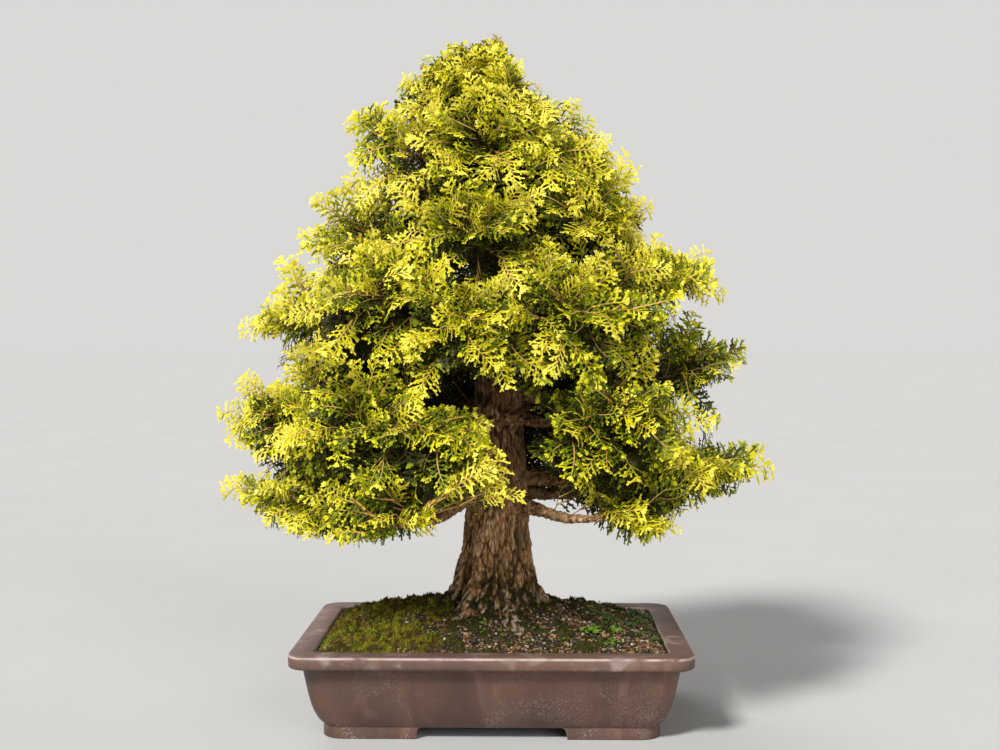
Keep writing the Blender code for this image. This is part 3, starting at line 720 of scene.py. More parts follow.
def buildLimb(item):
    # One tapering limb from inside the trunk to its last twig, with a collar where it leaves the trunk.
    collar = item["trunk"] / item["length"]

    def centreAt(share, angle):
        side, above = crossFrame(limbTangent(item, min(share, 0.985)))
        return limbPoint(item, share), side * math.cos(angle) + above * math.sin(angle)

    def radiusAt(share, angle):
        swell = limb["collar"] * item["radius"] * math.exp(-max(0.0, share - collar) / limb["collarLength"])
        knobs = limb["knobs"] * noise.noise(Vector((share * 9.0, item["height"] * 40.0, 0.0)))
        return (limbRadius(item, share) + swell * (1 - 0.4 * math.sin(angle))) * (1 + knobs)

    def scaleAt(share):
        return 0.16 + 0.55 * limbRadius(item, share) / 0.012

    name = item["name"] + "_bough"
    replaced = (name,) if item["bough"] else ()
    along = limb["along" if item["bough"] else "alongTop"]
    barkTube(name + "_bark", limb["around"], along, centreAt, radiusAt, scaleAt, replaced)


limbs = [limbOf(name, *row) for name, row in {**boughs, **topMasses}.items()] + [leaderLimb()]
for item in limbs[:-1]:
    buildLimb(item)
print("limbs done:", len(limbs))


# Sprays: flat fans of curved side shoots, each set with short blunt buds.

spray = {
    "shootLength": 0.30, "shootWidth": 0.038, "curl": 50.0, "budWidth": 0.043, "budLength": 0.066,
    "budGap": 0.088, "endBud": 0.045, "tipBud": 0.11,
    "stemWidth": 0.038, "stemTaper": 0.62, "stemRise": 0.010, "shortBelow": 0.040,
    # family: how many shapes, shoots on each, how much larger its buds are against its length
    "families": {"long": (12, 14, 1.0), "short": (8, 11, 1.20), "coarse": (4, 12, 1.7)},
}


def heading(angle):
    # The way a shoot runs, and the way across it.
    return np.array((math.sin(angle), math.cos(angle))), np.array((math.cos(angle), -math.sin(angle)))


def addFlat(shape, points, faces, mark):
    first = len(shape["points"])
    shape["points"] += points
    shape["faces"] += [[first + k for k in face] for face in faces]
    shape["marks"] += [mark] * len(faces)


def bud(shape, root, angle, length, width, lift, slope, mark, blunt=True):
    # A short stick, with a blunt point where it ends a shoot.
    along, across = heading(angle)
    along, across = along * length, across * (width / 2)
    high = lift + slope * length
    far = along * (0.80 if blunt else 1.0)
    points = [(*(root - across * 0.7), lift), (*(root + across * 0.7), lift)]
    points += [(*(root + far + across), high), (*(root + far - across), high), (*(root + along), high)]
    faces = [(1, 0, 2), (0, 3, 2), (2, 3, 4)]
    if blunt:
        addFlat(shape, points, faces, mark)
    else:
        addFlat(shape, points[:4], faces[:2], mark)


def ribbon(shape, stations, mark):
    # stations are (place, angle, width, height) along a shoot; flat faces join each pair
    points = []
    for place, angle, width, z in stations:
        across = heading(angle)[1] * (width / 2)
        points += [(*(place - across), z), (*(place + across), z)]
    faces = []
    for a in range(0, len(points) - 2, 2):
        faces += [(a, a + 1, a + 3), (a, a + 3, a + 2)]
    addFlat(shape, points, faces, mark)


def arc(root, angle, length, curl, steps):
    # Places and angles along a shoot that turns evenly by curl.
    rows = [(root, angle)]
    for step in range(steps):
        angle += curl / steps
        rows.append((rows[-1][0] + heading(angle)[0] * (length / steps), angle))
    return rows


def sprayShape(seed, family):
    # Unit length along +Y, flat in X, its upper face towards +Z.
    # A mark is the number of the shoot, how far up the stem it is and how far out on the shoot.
    rng = random.Random(seed)
    shape = {"points": [], "faces": [], "marks": []}
    count, grow = spray["families"][family][1:]
    wide = spray["budWidth"] * grow
    fine = family != "coarse"
    sway = rng.uniform(-0.10, 0.10)

    def spine(y):
        return np.array((sway * math.sin(math.pi * y), y))

    stem = []
    stemSteps = 5 if fine else 2
    for step in range(stemSteps + 1):
        y = 0.92 * step / stemSteps
        angle = math.atan(sway * math.pi * math.cos(math.pi * y))
        stem.append((spine(y), angle, spray["stemWidth"] * (1 - spray["stemTaper"] * y), spray["stemRise"]))
    for step in range(stemSteps):
        ribbon(shape, stem[step:step + 2], (0, (step + 0.5) / stemSteps, 0.0))
    for number in range(count):
        y = 0.06 + 0.84 * (number + 0.5) / count
        hand = 1 if (number + seed) % 2 else -1
        reach = spray["shootLength"] * math.sin(math.pi * (0.10 + 0.72 * (1 - y))) ** 0.8
        reach *= rng.uniform(0.86, 1.12)
        angle = hand * math.radians(47 - 14 * y + rng.uniform(-6, 6))
        curl = hand * math.radians(spray["curl"] * rng.uniform(0.1, 1.3))
        lift = rng.uniform(-0.010, 0.010)
        slope = rng.uniform(-0.34, 0.14)
        if not fine:
            mark = (number + 1, y, 0.3)
            bud(shape, spine(y), angle, reach, wide, lift, slope, mark)
            side = spine(y) + heading(angle)[0] * (reach * 0.45)
            turned = angle - hand * math.radians(44)
            bud(shape, side, turned, reach * 0.5, wide, lift + slope * reach * 0.5, slope, mark)
            continue
        rows = arc(spine(y), angle, reach, curl, 2)
        stations = [
            (place, turn, spray["shootWidth"] * grow * width, lift + slope * reach * i / 2)
            for i, ((place, turn), width) in enumerate(zip(rows, (0.75, 1.0, 0.9)))
        ]
        ribbon(shape, stations, (number + 1, y, 0.2))
        end = spray["endBud"] * grow
        bud(shape, *rows[-1], end, wide, stations[-1][3], slope, (number + 1, y, 1.0))
        buds = max(2, round(reach / spray["budGap"] / grow))
        for k in range(buds):
            share = 0.22 + 0.70 * (k + 0.6) / buds
            leg = min(1, int(share * 2))
            place = rows[leg][0] + (rows[leg + 1][0] - rows[leg][0]) * (share * 2 - leg)
            turned = rows[leg][1] + (-hand if (k + number) % 2 else hand) * math.radians(rng.uniform(40, 54))
            long = spray["budLength"] * grow * (1.15 - 0.40 * share) * rng.uniform(0.8, 1.2)
            high, tip = lift + slope * reach * share, rng.uniform(-0.5, 0.3)
            bud(shape, place, turned, long, wide, high, tip, (number + 1, y, share), False)
    for out in (-36, 0, 36):
        turned = math.radians(out) - sway * 3
        bud(shape, spine(0.90), turned, spray["tipBud"], wide, 0.0, 0.0, (count + 1, 1.0, 1.0))
    shootOf, along, out = np.array(shape["marks"]).T
    return {
        "points": np.array(shape["points"]), "faces": np.array(shape["faces"]),
        "shootOf": shootOf.astype(int), "along": along, "out": out, "count": count + 2,
    }


# Crown: finer twigs along each twig of the rule, each with its spray, kept inside the tree's outline.

crown = {
    # height, reach: the crown's rounded hull
    "hull": (
        (0.172, 0.190), (0.200, 0.262), (0.226, 0.304), (0.300, 0.312), (0.380, 0.290), (0.440, 0.266),
        (0.560, 0.198), (0.680, 0.134), (0.708, 0.082), (0.726, 0.034), (0.7345, 0.012),
    ),
    # height, reach to the left and to the right of the crown as it's seen from the front
    "seen": (
        (0.180, 0.196, 0.200), (0.202, 0.256, 0.206), (0.226, 0.292, 0.240), (0.240, 0.290, 0.264),
        (0.256, 0.248, 0.276), (0.270, 0.270, 0.284), (0.300, 0.300, 0.238), (0.332, 0.290, 0.238),
        (0.362, 0.268, 0.258), (0.380, 0.246, 0.275), (0.397, 0.234, 0.262), (0.429, 0.266, 0.190),
        (0.452, 0.212, 0.244), (0.494, 0.220, 0.236), (0.512, 0.204, 0.180), (0.542, 0.176, 0.168),
        (0.559, 0.194, 0.152), (0.575, 0.150, 0.144), (0.604, 0.132, 0.150), (0.626, 0.140, 0.104),
        (0.642, 0.154, 0.096), (0.658, 0.128, 0.092), (0.674, 0.124, 0.054), (0.688, 0.134, 0.042),
        (0.704, 0.070, 0.026), (0.722, 0.072, 0.010), (0.7345, 0.022, 0.004),
    ),
    # place across and height of plumes that stand out of the crown, as they're seen from the front
    "plumes": (
        (-0.066, 0.722), (-0.036, 0.717), (-0.003, 0.732), (0.020, 0.716), (0.031, 0.694), (-0.094, 0.695),
        (-0.110, 0.702), (-0.131, 0.690), (0.062, 0.662), (0.101, 0.626), (-0.146, 0.570), (-0.153, 0.640),
        (-0.144, 0.613), (-0.130, 0.590), (-0.194, 0.558), (-0.205, 0.514), (-0.215, 0.482), (-0.226, 0.444),
        (-0.260, 0.426), (-0.262, 0.358), (-0.290, 0.322), (-0.286, 0.256), (-0.283, 0.236), (-0.273, 0.352),
        (0.090, 0.660), (0.132, 0.612), (0.146, 0.588), (0.156, 0.545), (0.168, 0.508), (0.233, 0.494),
        (0.238, 0.461), (0.210, 0.417), (0.258, 0.392), (0.240, 0.336), (0.272, 0.284), (0.283, 0.279),
        (0.258, 0.238), (0.250, 0.297), (0.204, 0.425),
    ),
    # limb, then place across and height of branchlets that lie on the crown's front, as they're seen
    "fronts": {
        "front_left_low": ((0.030, 0.252), (-0.020, 0.258), (0.036, 0.242), (0.012, 0.270)),
        "front_left_second": (
            (0.010, 0.292), (0.028, 0.300), (-0.142, 0.372), (-0.090, 0.336),
        ),
        "left_low": ((-0.238, 0.211), (-0.196, 0.196)),
        "left_second": ((-0.190, 0.385),),
        "right_low": ((0.200, 0.262), (0.246, 0.246)),
        "front_right_low": ((0.125, 0.224), (0.170, 0.208), (0.106, 0.252)),
        "front_right_second": ((0.136, 0.318), (0.092, 0.304)),
        "front_third": ((0.000, 0.430),),
        "front_fourth": ((0.026, 0.552),),
        "right_fourth": ((0.064, 0.545), (0.098, 0.522)),
        "front_fifth": ((0.022, 0.588),),
        "right_fifth": ((0.060, 0.578), (0.095, 0.560)),
    },
    # place across, height of the crown's low edge as it's seen from the front
    "skirt": (
        (-0.300, 0.236), (-0.274, 0.220), (-0.252, 0.203), (-0.209, 0.188), (-0.187, 0.181), (-0.133, 0.184),
        (-0.101, 0.198), (-0.069, 0.204), (-0.052, 0.226), (-0.036, 0.236), (0.010, 0.230), (0.036, 0.232),
        (0.046, 0.242), (0.072, 0.240), (0.104, 0.224), (0.137, 0.200), (0.169, 0.187), (0.2015, 0.190),
        (0.223, 0.218), (0.261, 0.234), (0.300, 0.270),
    ),
    # left, right, low, high, as seen from the front: bare trunk and limbs, then the shaded hollows
    "windows": (
        (0.044, 0.078, 0.236, 0.262),
        (0.014, 0.034, 0.262, 0.330), (-0.014, 0.012, 0.318, 0.356), (-0.045, 0.020, 0.478, 0.494),
        (0.034, 0.054, 0.402, 0.430), (-0.070, -0.014, 0.346, 0.366), (0.088, 0.130, 0.397, 0.416),
        (0.124, 0.146, 0.343, 0.364), (0.194, 0.213, 0.309, 0.327),
    ),
    # kind of twig: how far out its sprays may stand, the gap between them, their length, how far they face
    # the front or the back
    "kinds": {
        "plain": (0.0, 1.0, 1.0, 0.88), "first": (1.035, 1.0, 1.0, 0.88),
        "front": (1.05, 1.25, 1.0, 0.88), "plume": (1.12, 1.7, 1.12, 1.8),
    },
    "windowsBefore": 0.03, "depth": 0.755, "frontIn": 0.86, "trunkClear": 0.004, "fewest": 0.30,
    "plumesOut": 0.8, "twigReach": 0.70, "twigDroop": 0.10, "under": 0.60, "over": 0.90, "bow": 0.06,
    # sprays: where the first one leaves the twig, degrees that they lean off it, lengths in metres
    "sprayFrom": 0.14, "lean": (36, 60), "leanLoss": 14, "outward": 0.22, "sprayGap": 0.0072,
    "gapAtTop": 1.22, "sprayLength": 0.048, "sprayTop": 0.047, "lengthVaries": (0.82, 1.12), "longest": 1.12,
    "taper": 0.46, "lastLength": 0.96, "droop": 0.34, "leastDroop": 0.3, "cup": 1.2, "mostCup": 1.1,
    "lowLift": -0.18, "liftFrom": 0.24, "liftByHeight": 1.30, "liftByPlace": 0.50, "leastPlace": -1.3,
    "liftTop": 0.32, "liftTopBetween": (0.58, 0.70), "liftVaries": 0.26, "tilt": 0.62,
    "inside": 0.935, "lastInside": 1.01, "ragged": 0.07, "openTop": 0.11, "openBetween": (0.54, 0.66),
    "padHalf": 0.040, "notch": 0.070, "notchFrom": 0.35, "shorter": 0.72,
    "coarseInside": 0.50, "coarseBetween": (0.39, 0.61),
}


def tableAt(rows, z, column):
    for low, high in zip(rows, rows[1:]):
        if low[0] <= z <= high[0]:
            return low[column] + (high[column] - low[column]) * (z - low[0]) / (high[0] - low[0])
    return 0.0


def asSeen(point):
    # Where a point shows on the upright plane through the trunk, for the eye of the photo.
    eye = Vector(camera["at"])
    share = -eye.y / (point.y - eye.y)
    return eye.x + (point.x - eye.x) * share, eye.z + (point.z - eye.z) * share


def crownShare(point):
    # 1 on the crown's outline, less inside it, and a lot above and below it
    radius = tableAt(crown["hull"], point.z, 1)
    x, z = asSeen(point)
    wide = tableAt(crown["seen"], z, 1 if x < 0 else 2)
    if radius == 0.0 or wide == 0.0:
        return 9.0
    return max(math.hypot(point.x, point.y / crown["depth"]) / radius, abs(x) / wide)


def besideTrunk(point):
    if point.z > trunk["tip"]:
        return False
    axis = trunkAxis(point.z)
    return math.hypot(point.x - axis.x, point.y - axis.y) < trunkCore(point.z) + crown["trunkClear"]


def overWindow(point):
    # The open air under the crown's low edge, then the openings of its front.
    x, z = asSeen(point)
    if z < tableAt(crown["skirt"], x, 1):
        return True
    if point.y > crown["windowsBefore"]:
        return False
    return any(left < x < right and low < z < high for left, right, low, high in crown["windows"])


def bowed(base, bend, tip):
    # A bowed line, as a function of the share of it, with its rough length.
    def at(t):
        return base * ((1 - t) ** 2) + bend * (2 * t * (1 - t)) + tip * (t * t)

    return at, (bend - base).length + (tip - bend).length


def twigRule(item):
    # The solids' rule: where each twig leaves its limb, where its blade starts, its heading and its length.
    first = limb["boughShare"] if item["bough"] else 0.0
    if item["trunk"]:
        first = max(first, (item["trunk"] + 0.006) / item["length"])
    rng = random.Random(item["name"])
    yield limbPoint(item, 0.93), limbPoint(item, 1.0), limbTangent(item, 0.97), item["spray"]
    startTurn = rng.uniform(0, 360)
    for k in range(limb["twigs"]):
        along = 1 - (k + 0.5) / limb["twigs"]
        share = first + (1 - first) * along
        base = limbPoint(item, share)
        tangent = limbTangent(item, min(share, 0.97))
        side, above = crossFrame(tangent)
        turn = math.radians(startTurn + limb["turn"] * k)
        lean = limb["leanRoot"] + (limb["leanTip"] - limb["leanRoot"]) * along
        lean = math.radians(lean + rng.uniform(-limb["leanVaries"], limb["leanVaries"]))
        out = side * math.cos(turn) + above * (limb["flatten"] * math.sin(turn))
        direction = (tangent * math.cos(lean) + out * math.sin(lean)).normalized()
        widest = limb["spread"] * item["reach"] * math.sin(math.pi * (0.25 + 0.50 * along)) * out.length
        stalk = (widest - item["spray"] * 0.8) * rng.uniform(1 - limb["stalkVaries"], 1 + limb["stalkVaries"])
        root = base + direction * max(limb["shortestTwig"], stalk)
        ahead = (direction + Vector((0, 0, rng.uniform(-0.40, 0.25)))).normalized()
        # two draws that the rule spends on the tilt of the solids' blade
        rng.random()
        rng.random()
        yield base, root, ahead, item["spray"] * rng.uniform(0.85, 1.10)


def twigPath(base, root, ahead, length):
    # From the stem through the twig's root to the furthest point that its sprays reach.
    tip = root + ahead * (length * crown["twigReach"])
    tip.z -= crown["twigDroop"] * length
    level = crown["under"] if tip.z < base.z else crown["over"]
    bend = base.lerp(tip, 0.5) + (root - base.lerp(tip, 0.5)) * 0.6
    tip.z = base.z + (tip.z - base.z) * level
    bend.z = base.z + (bend.z - base.z) * level
    return bowed(base, bend, tip)


def branchPath(item, aim):
    # From the limb's end to where the branchlet's furthest spray shows.
    base = limbPoint(item, 0.90)
    tip = aim - (aim - base).normalized() * (crown["sprayLength"] * 0.7)
    return bowed(base, base.lerp(tip, 0.5) + up * (crown["bow"] * (tip - base).length), tip)


def limbTowards(x, z):
    # The limb whose end shows nearest to a place on the outline.
    def apart(item):
        tip = limbPoint(item, 1.0)
        seenX, seenZ = asSeen(tip)
        return math.hypot(seenX - x, seenZ - z) + 0.4 * abs(tip.y)

    return min(limbs, key=apart)


def onFront(x, z):
    # The place on the front of the crown's hull that shows at x, z.
    eye = Vector(camera["at"])
    aim = Vector((x, 0.0, z))
    for turn in range(3):
        width = max(0.02, tableAt(crown["hull"], aim.z, 1))
        aim.y = -crown["frontIn"] * crown["depth"] * math.sqrt(max(0.0, width**2 - aim.x**2))
        share = (aim.y - eye.y) / -eye.y
        aim.x = eye.x + (x - eye.x) * share
        aim.z = eye.z + (z - eye.z) * share
    return aim


def twigPaths(item):
    for number, row in enumerate(twigRule(item)):
        yield "plain" if number else "first", *twigPath(*row)
    for x, z in crown["plumes"]:
        if limbTowards(x, z) is item:
            yield "plume", *branchPath(item, Vector((x, limbPoint(item, 1.0).y * crown["plumesOut"], z)))
    for x, z in crown["fronts"].get(item["name"], ()):
        yield "front", *branchPath(item, onFront(x, z))


def aboveLimb(item, point):
    # How far this point is over the limb's own line, against half the depth of a pad.
    share = (point - item["start"]).dot(item["forward"]) / item["length"]
    return (point.z - limbPoint(item, clamp(share)).z) / crown["padHalf"]


def sprayFrame(tangent, lean, lift, outward, broad, rng):
    # The way a spray points, and its face turned up with a chance tilt.
    side = tangent.cross(up + outward * 0.2).normalized()
    axis = tangent * math.cos(lean) + side * math.sin(lean) + outward * crown["outward"]
    axis = (axis + up * (lift + rng.gauss(0.0, crown["liftVaries"]))).normalized()
    chance = Vector((rng.gauss(0, 1), rng.gauss(0, 1), rng.gauss(0, 1))).normalized()
    front = Vector((0.0, math.copysign(broad, outward.y - 0.25), 0.0))
    face = up * 0.6 + chance * crown["tilt"] + outward * 0.5 + front
    return axis, (face - axis * face.dot(axis)).normalized()


def sprayReach(item, start, tip, last):
    # How far out this spray may end: less between the pads, less at the top, and ragged all over.
    rough = noise.noise(Vector((start.x * 9, start.y * 9, start.z * 22)))
    most = crown["lastInside" if last else "inside"] + crown["ragged"] * rough
    most -= crown["notch"] * max(0.0, abs(aboveLimb(item, tip)) - crown["notchFrom"])
    return most - crown["openTop"] * smoothStep(start.z, *crown["openBetween"])


def spraysOf(item):
    # A spray is its start, axis, face, length, share of the crown, share of the twig, mood and chance.
    rng = random.Random(item["name"] + " finer")
    climb = smoothStep(item["height"], 0.35, 0.70)
    size = crown["sprayLength"] + (crown["sprayTop"] - crown["sprayLength"]) * climb
    for kind, at, total in twigPaths(item):
        standsOut, wider, longer, broad = crown["kinds"][kind]
        if not standsOut and (crownShare(at(1.0)) > 1.0 or besideTrunk(at(1.0))):
            continue
        gap = crown["sprayGap"] * (1 + (crown["gapAtTop"] - 1) * climb) * wider
        count = max(3, round(total / gap))
        kept = []
        twigChance = rng.random()
        for k in range(count + 1):
            t = crown["sprayFrom"] + (1 - crown["sprayFrom"]) * k / count
            start = at(t)
            tangent = (at(min(1.0, t + 0.02)) - at(t - 0.02)).normalized()
            outward = Vector((start.x, start.y, 0.0)).normalized()
            last = k == count
            turned = 0.0 if last else math.radians(rng.uniform(*crown["lean"]) - crown["leanLoss"] * t)
            lean = turned if k % 2 else -turned
            lift = crown["lowLift"] + crown["liftByHeight"] * (start.z - crown["liftFrom"])
            lift += crown["liftTop"] * smoothStep(start.z, *crown["liftTopBetween"])
            lift += crown["liftByPlace"] * clamp(aboveLimb(item, start) - 0.15, crown["leastPlace"])
            axis, normal = sprayFrame(tangent, lean, lift, outward, broad, rng)
            tapered = crown["lastLength"] if last else crown["longest"] - crown["taper"] * t * t
            long = size * rng.uniform(*crown["lengthVaries"]) * tapered * longer
            chance = rng.random()
            drooped = axis - normal * (crown["droop"] * (crown["leastDroop"] + chance))
            tip = start + drooped * long
            most = standsOut or sprayReach(item, start, tip, last)
            if crownShare(tip) > most:
                long *= crown["shorter"]
                tip = start + drooped * long
            share = crownShare(tip)
            if share > most or besideTrunk(tip) or overWindow(tip) or overWindow(start.lerp(tip, 0.5)):
                continue
            mood = 0.5 * twigChance + 0.5 * rng.random()
            kept.append((start, axis, normal, long, share, t, mood, chance))
        if kept and (standsOut or len(kept) > crown["fewest"] * (count + 1)):
            sprays.extend(kept)
            twigs.append((at, total, kept[-1][5]))


sprays, twigs = [], []
for item in limbs:
    spraysOf(item)
print("sprays:", len(sprays), "twigs:", len(twigs))


# Foliage: the sprays' leaves by tone, lighter or darker by the light and shade painted on each spray, and the
# twigs that carry them.

foliage = {
    # from the sunlit tips to the shaded heart, then the stems' amber: partly the real gold of sunlit growth
    # and green of shaded growth, partly painted light and painted shade
    "colours": {
        "pale_gold": (0.80, 0.690, 0.070),
        "gold": (0.600, 0.535, 0.010),
        "lime": (0.235, 0.262, 0.004),
        "green": (0.074, 0.098, 0.003),
        "shade": (0.030, 0.028, 0.003),
        "amber": (0.52, 0.31, 0.070),
    },
    # light below which a face takes the next tone, and above which a stem is amber
    "steps": (0.780, 0.585, 0.425, 0.264), "stemLight": 0.26,
    "open": 0.680, "shaded": 0.70, "tipLight": 0.14, "varies": 0.56, "coarseLight": 0.2, "shootVaries": 0.06,
    "outerGlow": 0.36, "outerMiddle": 0.52, "budGlow": 0.26, "amberBelow": 0.75,
    # each change of light: how much, then where along X or Z it starts and how wide the change is
    "topLight": (0.07, 0.38, 0.16), "rightShade": (0.08, 0.04, 0.10), "rightBelow": (0.50, -0.10),
    "lowLight": 0.15, "lowLeast": 0.36, "lowBand": 0.036,
    "skyOut": 0.70, "shadeReach": 0.10, "shadeWidth": 0.020, "shadeFrom": 0.004,
    "nearReach": 0.4, "nearWidth": 0.6,
    "twig": (0.21, 0.098, 0.034), "twigLight": (0.42, 0.215, 0.060),
    "twigRings": 7, "twigSides": 3, "twigBend": 0.0034,
    "twigThin": 0.0005, "twigThick": 0.0054, "twigTaper": 0.68,
}


def shadeOver():
    # How many other sprays stand between each spray and the sky above and outside it.
    centre = np.array([row[0] + row[1] * (row[3] * 0.5) for row in sprays])
    outward = centre * (1.0, 1.0, 0.0)
    outward /= np.linalg.norm(outward, axis=1)[:, None] + 1e-6
    towards = outward * foliage["skyOut"] + np.array((0.0, 0.0, 1.0))
    towards /= np.linalg.norm(towards, axis=1)[:, None]
    over = np.zeros(len(sprays))
    reach, width = foliage["shadeReach"], foliage["shadeWidth"]
    for block in np.array_split(np.arange(len(sprays)), 12):
        apart = centre[None] - centre[block][:, None]
        along = (apart * towards[block][:, None]).sum(2)
        beside = np.sqrt(np.maximum(0.0, (apart**2).sum(2) - along**2))
        ahead = along > foliage["shadeFrom"]
        over[block] = (ahead & (along < reach) & (beside < width)).sum(1)
        near = (along < reach * foliage["nearReach"]) & (beside < width * foliage["nearWidth"])
        over[block] += 2 * (ahead & near).sum(1)
    return over


def ramp(most, values, start, width):
    return most * np.clip((values - start) / width, 0.0, 1.0)


def lightOn(index):
    # Painted light from 0 to 1: the order of the sprays by what shades them, then by place on the twig and
    # chance.
    rank = np.argsort(np.argsort(shade)) / len(shade)
    far, chance = (np.array([sprays[i][k] for i in index]) for k in (5, 6))
    right = np.array([sprays[i][0].x for i in index])
    height = np.array([sprays[i][0].z for i in index])
    light = foliage["open"] - foliage["shaded"] * rank[index]
    light = light + foliage["tipLight"] * (far - 0.5) + foliage["varies"] * (chance - 0.5)
    most, *band = foliage["topLight"]
    light += ramp(most, height, *band)
    most, *band = foliage["rightShade"]
    light -= ramp(ramp(most, right, *band), height, *foliage["rightBelow"])
    # the low edge catches the light from the front and from the floor
    for k, i in enumerate(index):
        x, z = asSeen(sprays[i][0] + sprays[i][1] * (sprays[i][3] * 0.6))
        low = clamp(1.5 - (z - tableAt(crown["skirt"], x, 1)) / foliage["lowBand"])
        light[k] = max(light[k] + foliage["lowLight"] * low, foliage["lowLeast"] * low)
    return light


def familyOf(row):
    # The hidden heart of the crown's middle takes the coarse shapes.
    low, high = crown["coarseBetween"]
    if row[4] < crown["coarseInside"] and low < row[0].z < high and row[0].y > -0.01:
        return "coarse"
    return "short" if row[3] < spray["shortBelow"] else "long"


def sprayGroups():
    # Which sprays share one shape.
    groups = {}
    for index, row in enumerate(sprays):
        family = familyOf(row)
        groups.setdefault((family, index * 7 % spray["families"][family][0]), []).append(index)
    return sorted(groups.items())


def placeSprays(form, rows):
    # The points of one shape, drooping and cupped, at the place of each of these sprays.
    origin, ahead, above = (np.array([row[k] for row in rows]) for k in (0, 1, 2))
    across = np.cross(ahead, above)
    length, chance = (np.array([row[k] for row in rows])[:, None] for k in (3, 7))
    x, y, z = (form["points"][None, :, k] for k in range(3))
    bent = z - crown["droop"] * (crown["leastDroop"] + chance) * y**2
    bent = bent - crown["cup"] * (crown["mostCup"] - chance) * x**2
    world = origin[:, None] + (x * length)[..., None] * across[:, None]
    return world + (y * length)[..., None] * ahead[:, None] + (bent * length)[..., None] * above[:, None]


def toneOf(form, family, index, rng):
    # The number of each face's colour, by the light on its spray and its place there.
    glow = foliage["outerGlow"] * (form["along"] - foliage["outerMiddle"])
    glow += foliage["budGlow"] * (form["out"] - 0.5)
    shootChance = rng.normal(0, foliage["shootVaries"], (len(index), form["count"]))[:, form["shootOf"]]
    light = lightOn(np.array(index))[:, None]
    # painted shade: the coarse sprays of the hidden heart take only the darkest tones
    if family == "coarse":
        light = light * foliage["coarseLight"]
    kind = np.zeros((len(index), len(glow)), int)
    for step in foliage["steps"]:
        kind += light + glow[None] + shootChance < step
    stem = (form["shootOf"] == 0) & (form["along"] < foliage["amberBelow"])
    amber = len(foliage["colours"]) - 1
    kind[:, stem] = np.where(light > foliage["stemLight"], amber, kind[:, stem])
    return kind


def buildLeaves():
    gathered = [[] for name in foliage["colours"]]
    points, offset = [], 0
    rng = np.random.default_rng(5)
    for (family, seed), index in sprayGroups():
        form = sprayShape(seed, family)
        size = len(form["points"])
        kind = toneOf(form, family, index, rng)
        faces = form["faces"][None] + (offset + np.arange(len(index)) * size)[:, None, None]
        for k, some in enumerate(gathered):
            some.append(faces[kind == k])
        points.append(placeSprays(form, [sprays[i] for i in index]).reshape(-1, 3))
        offset += len(index) * size
    points = np.concatenate(points)
    for (name, colour), some in zip(foliage["colours"].items(), gathered):
        faces = np.concatenate(some)
        material = plainMaterial("leaf_" + name, "leaf", colour)
        joinHeap("leaves_" + name, (points, faces), material, foliageNodes)
        print("  ", name, len(faces))


def buildTwigs():
    # Three-sided tapering stems, one for each twig.
    rings, sides = foliage["twigRings"], foliage["twigSides"]
    faces = []
    for a in range((rings - 1) * sides):
        b = a + 1 if (a + 1) % sides else a + 1 - sides
        faces += [(a, b, b + sides), (a, b + sides, a + sides)]
    last = (rings - 1) * sides
    faces += [(last, last + 1, last + 2), (2, 1, 0)]
    heap = [], []
    for at, total, end in twigs:
        points = []
        thick = foliage["twigThin"] + foliage["twigThick"] * total
        for ring in range(rings):
            t = end * ring / (rings - 1)
            tangent = (at(min(1.0, t + 0.02)) - at(max(0.0, t - 0.02))).normalized()
            side, above = crossFrame(tangent)
            radius = thick * (1 - foliage["twigTaper"] * t)
            bent = foliage["twigBend"] * noise.noise(at(t) * 60.0) * math.sin(math.pi * t)
            middle = at(t) + (side + above * 0.6) * bent
            for k in range(sides):
                angle = 2 * math.pi * k / sides + math.pi / 2
                points.append(middle + (side * math.cos(angle) + above * math.sin(angle)) * radius)
        addFaces(heap, points, faces)
    material = plainMaterial("twig_bark", "stem", foliage["twigLight"], foliage["twig"])
    joinHeap("twigs", heap, material, foliageNodes)


shade = shadeOver()
buildLeaves()
buildTwigs()
print("foliage done")


# Soil: the mound, moss cushions on its left, grit and small plants on the rest.

soil = {
    "edge": 0.085, "peak": 0.124, "shoulder": 1.25, "clear": 0.0006,
    "across": 250, "deep": 170, "bottom": 0.060, "lump": 0.0022,
    "dark": (0.016, 0.012, 0.006), "earth": (0.060, 0.042, 0.020), "roughness": 0.95, "specular": 0.2,
}
moss = {
    "colours": {
        "light": (0.164, 0.136, 0.006), "dark": (0.046, 0.030, 0.005),
        "deep": (0.026, 0.028, 0.006), "bright": (0.235, 0.270, 0.010),
    },
    "blades": 36000, "height": 0.0024, "width": 0.0011, "sunk": 0.0006,
    "onRoots": 20000, "foot": 0.115, "climb": 0.047, "patch": 58.0,
}
grit = {
    "colours": {
        "cream": (0.44, 0.34, 0.20), "ochre": (0.32, 0.175, 0.060), "rust": (0.20, 0.070, 0.028),
        "chalk": (0.58, 0.50, 0.38), "slate": (0.040, 0.035, 0.025), "sand": (0.21, 0.145, 0.075),
    },
    "shares": (0.11, 0.18, 0.16, 0.035, 0.295, 0.22),
    "count": 7000, "smallest": 0.0006, "largest": 0.0025, "pebbles": 0.006, "pebbleSize": 1.9, "shapes": 6,
}
litter = {
    "colours": {"brown": (0.20, 0.085, 0.035), "tan": (0.36, 0.22, 0.09)},
    "count": 700, "length": 0.0042, "width": 0.0016, "above": 0.0014,
}
sprouts = {
    # kind: where the small plants stand (left, right, front, back), how many, leaves on each, size, colour
    "sprout": ((0.086, 0.128, -0.100, -0.060), 8, 7, 1.0, (0.125, 0.215, 0.020)),
    "creeper": ((0.105, 0.184, -0.060, 0.070), 34, 9, 0.74, (0.040, 0.078, 0.018)),
    "seedling": ((-0.030, 0.080, -0.098, -0.058), 22, 5, 0.46, (0.150, 0.200, 0.016)),
}
leaflet = {"spread": 0.0070, "radius": 0.0026, "height": 0.0052, "stalk": 0.0003, "rooted": 0.001}


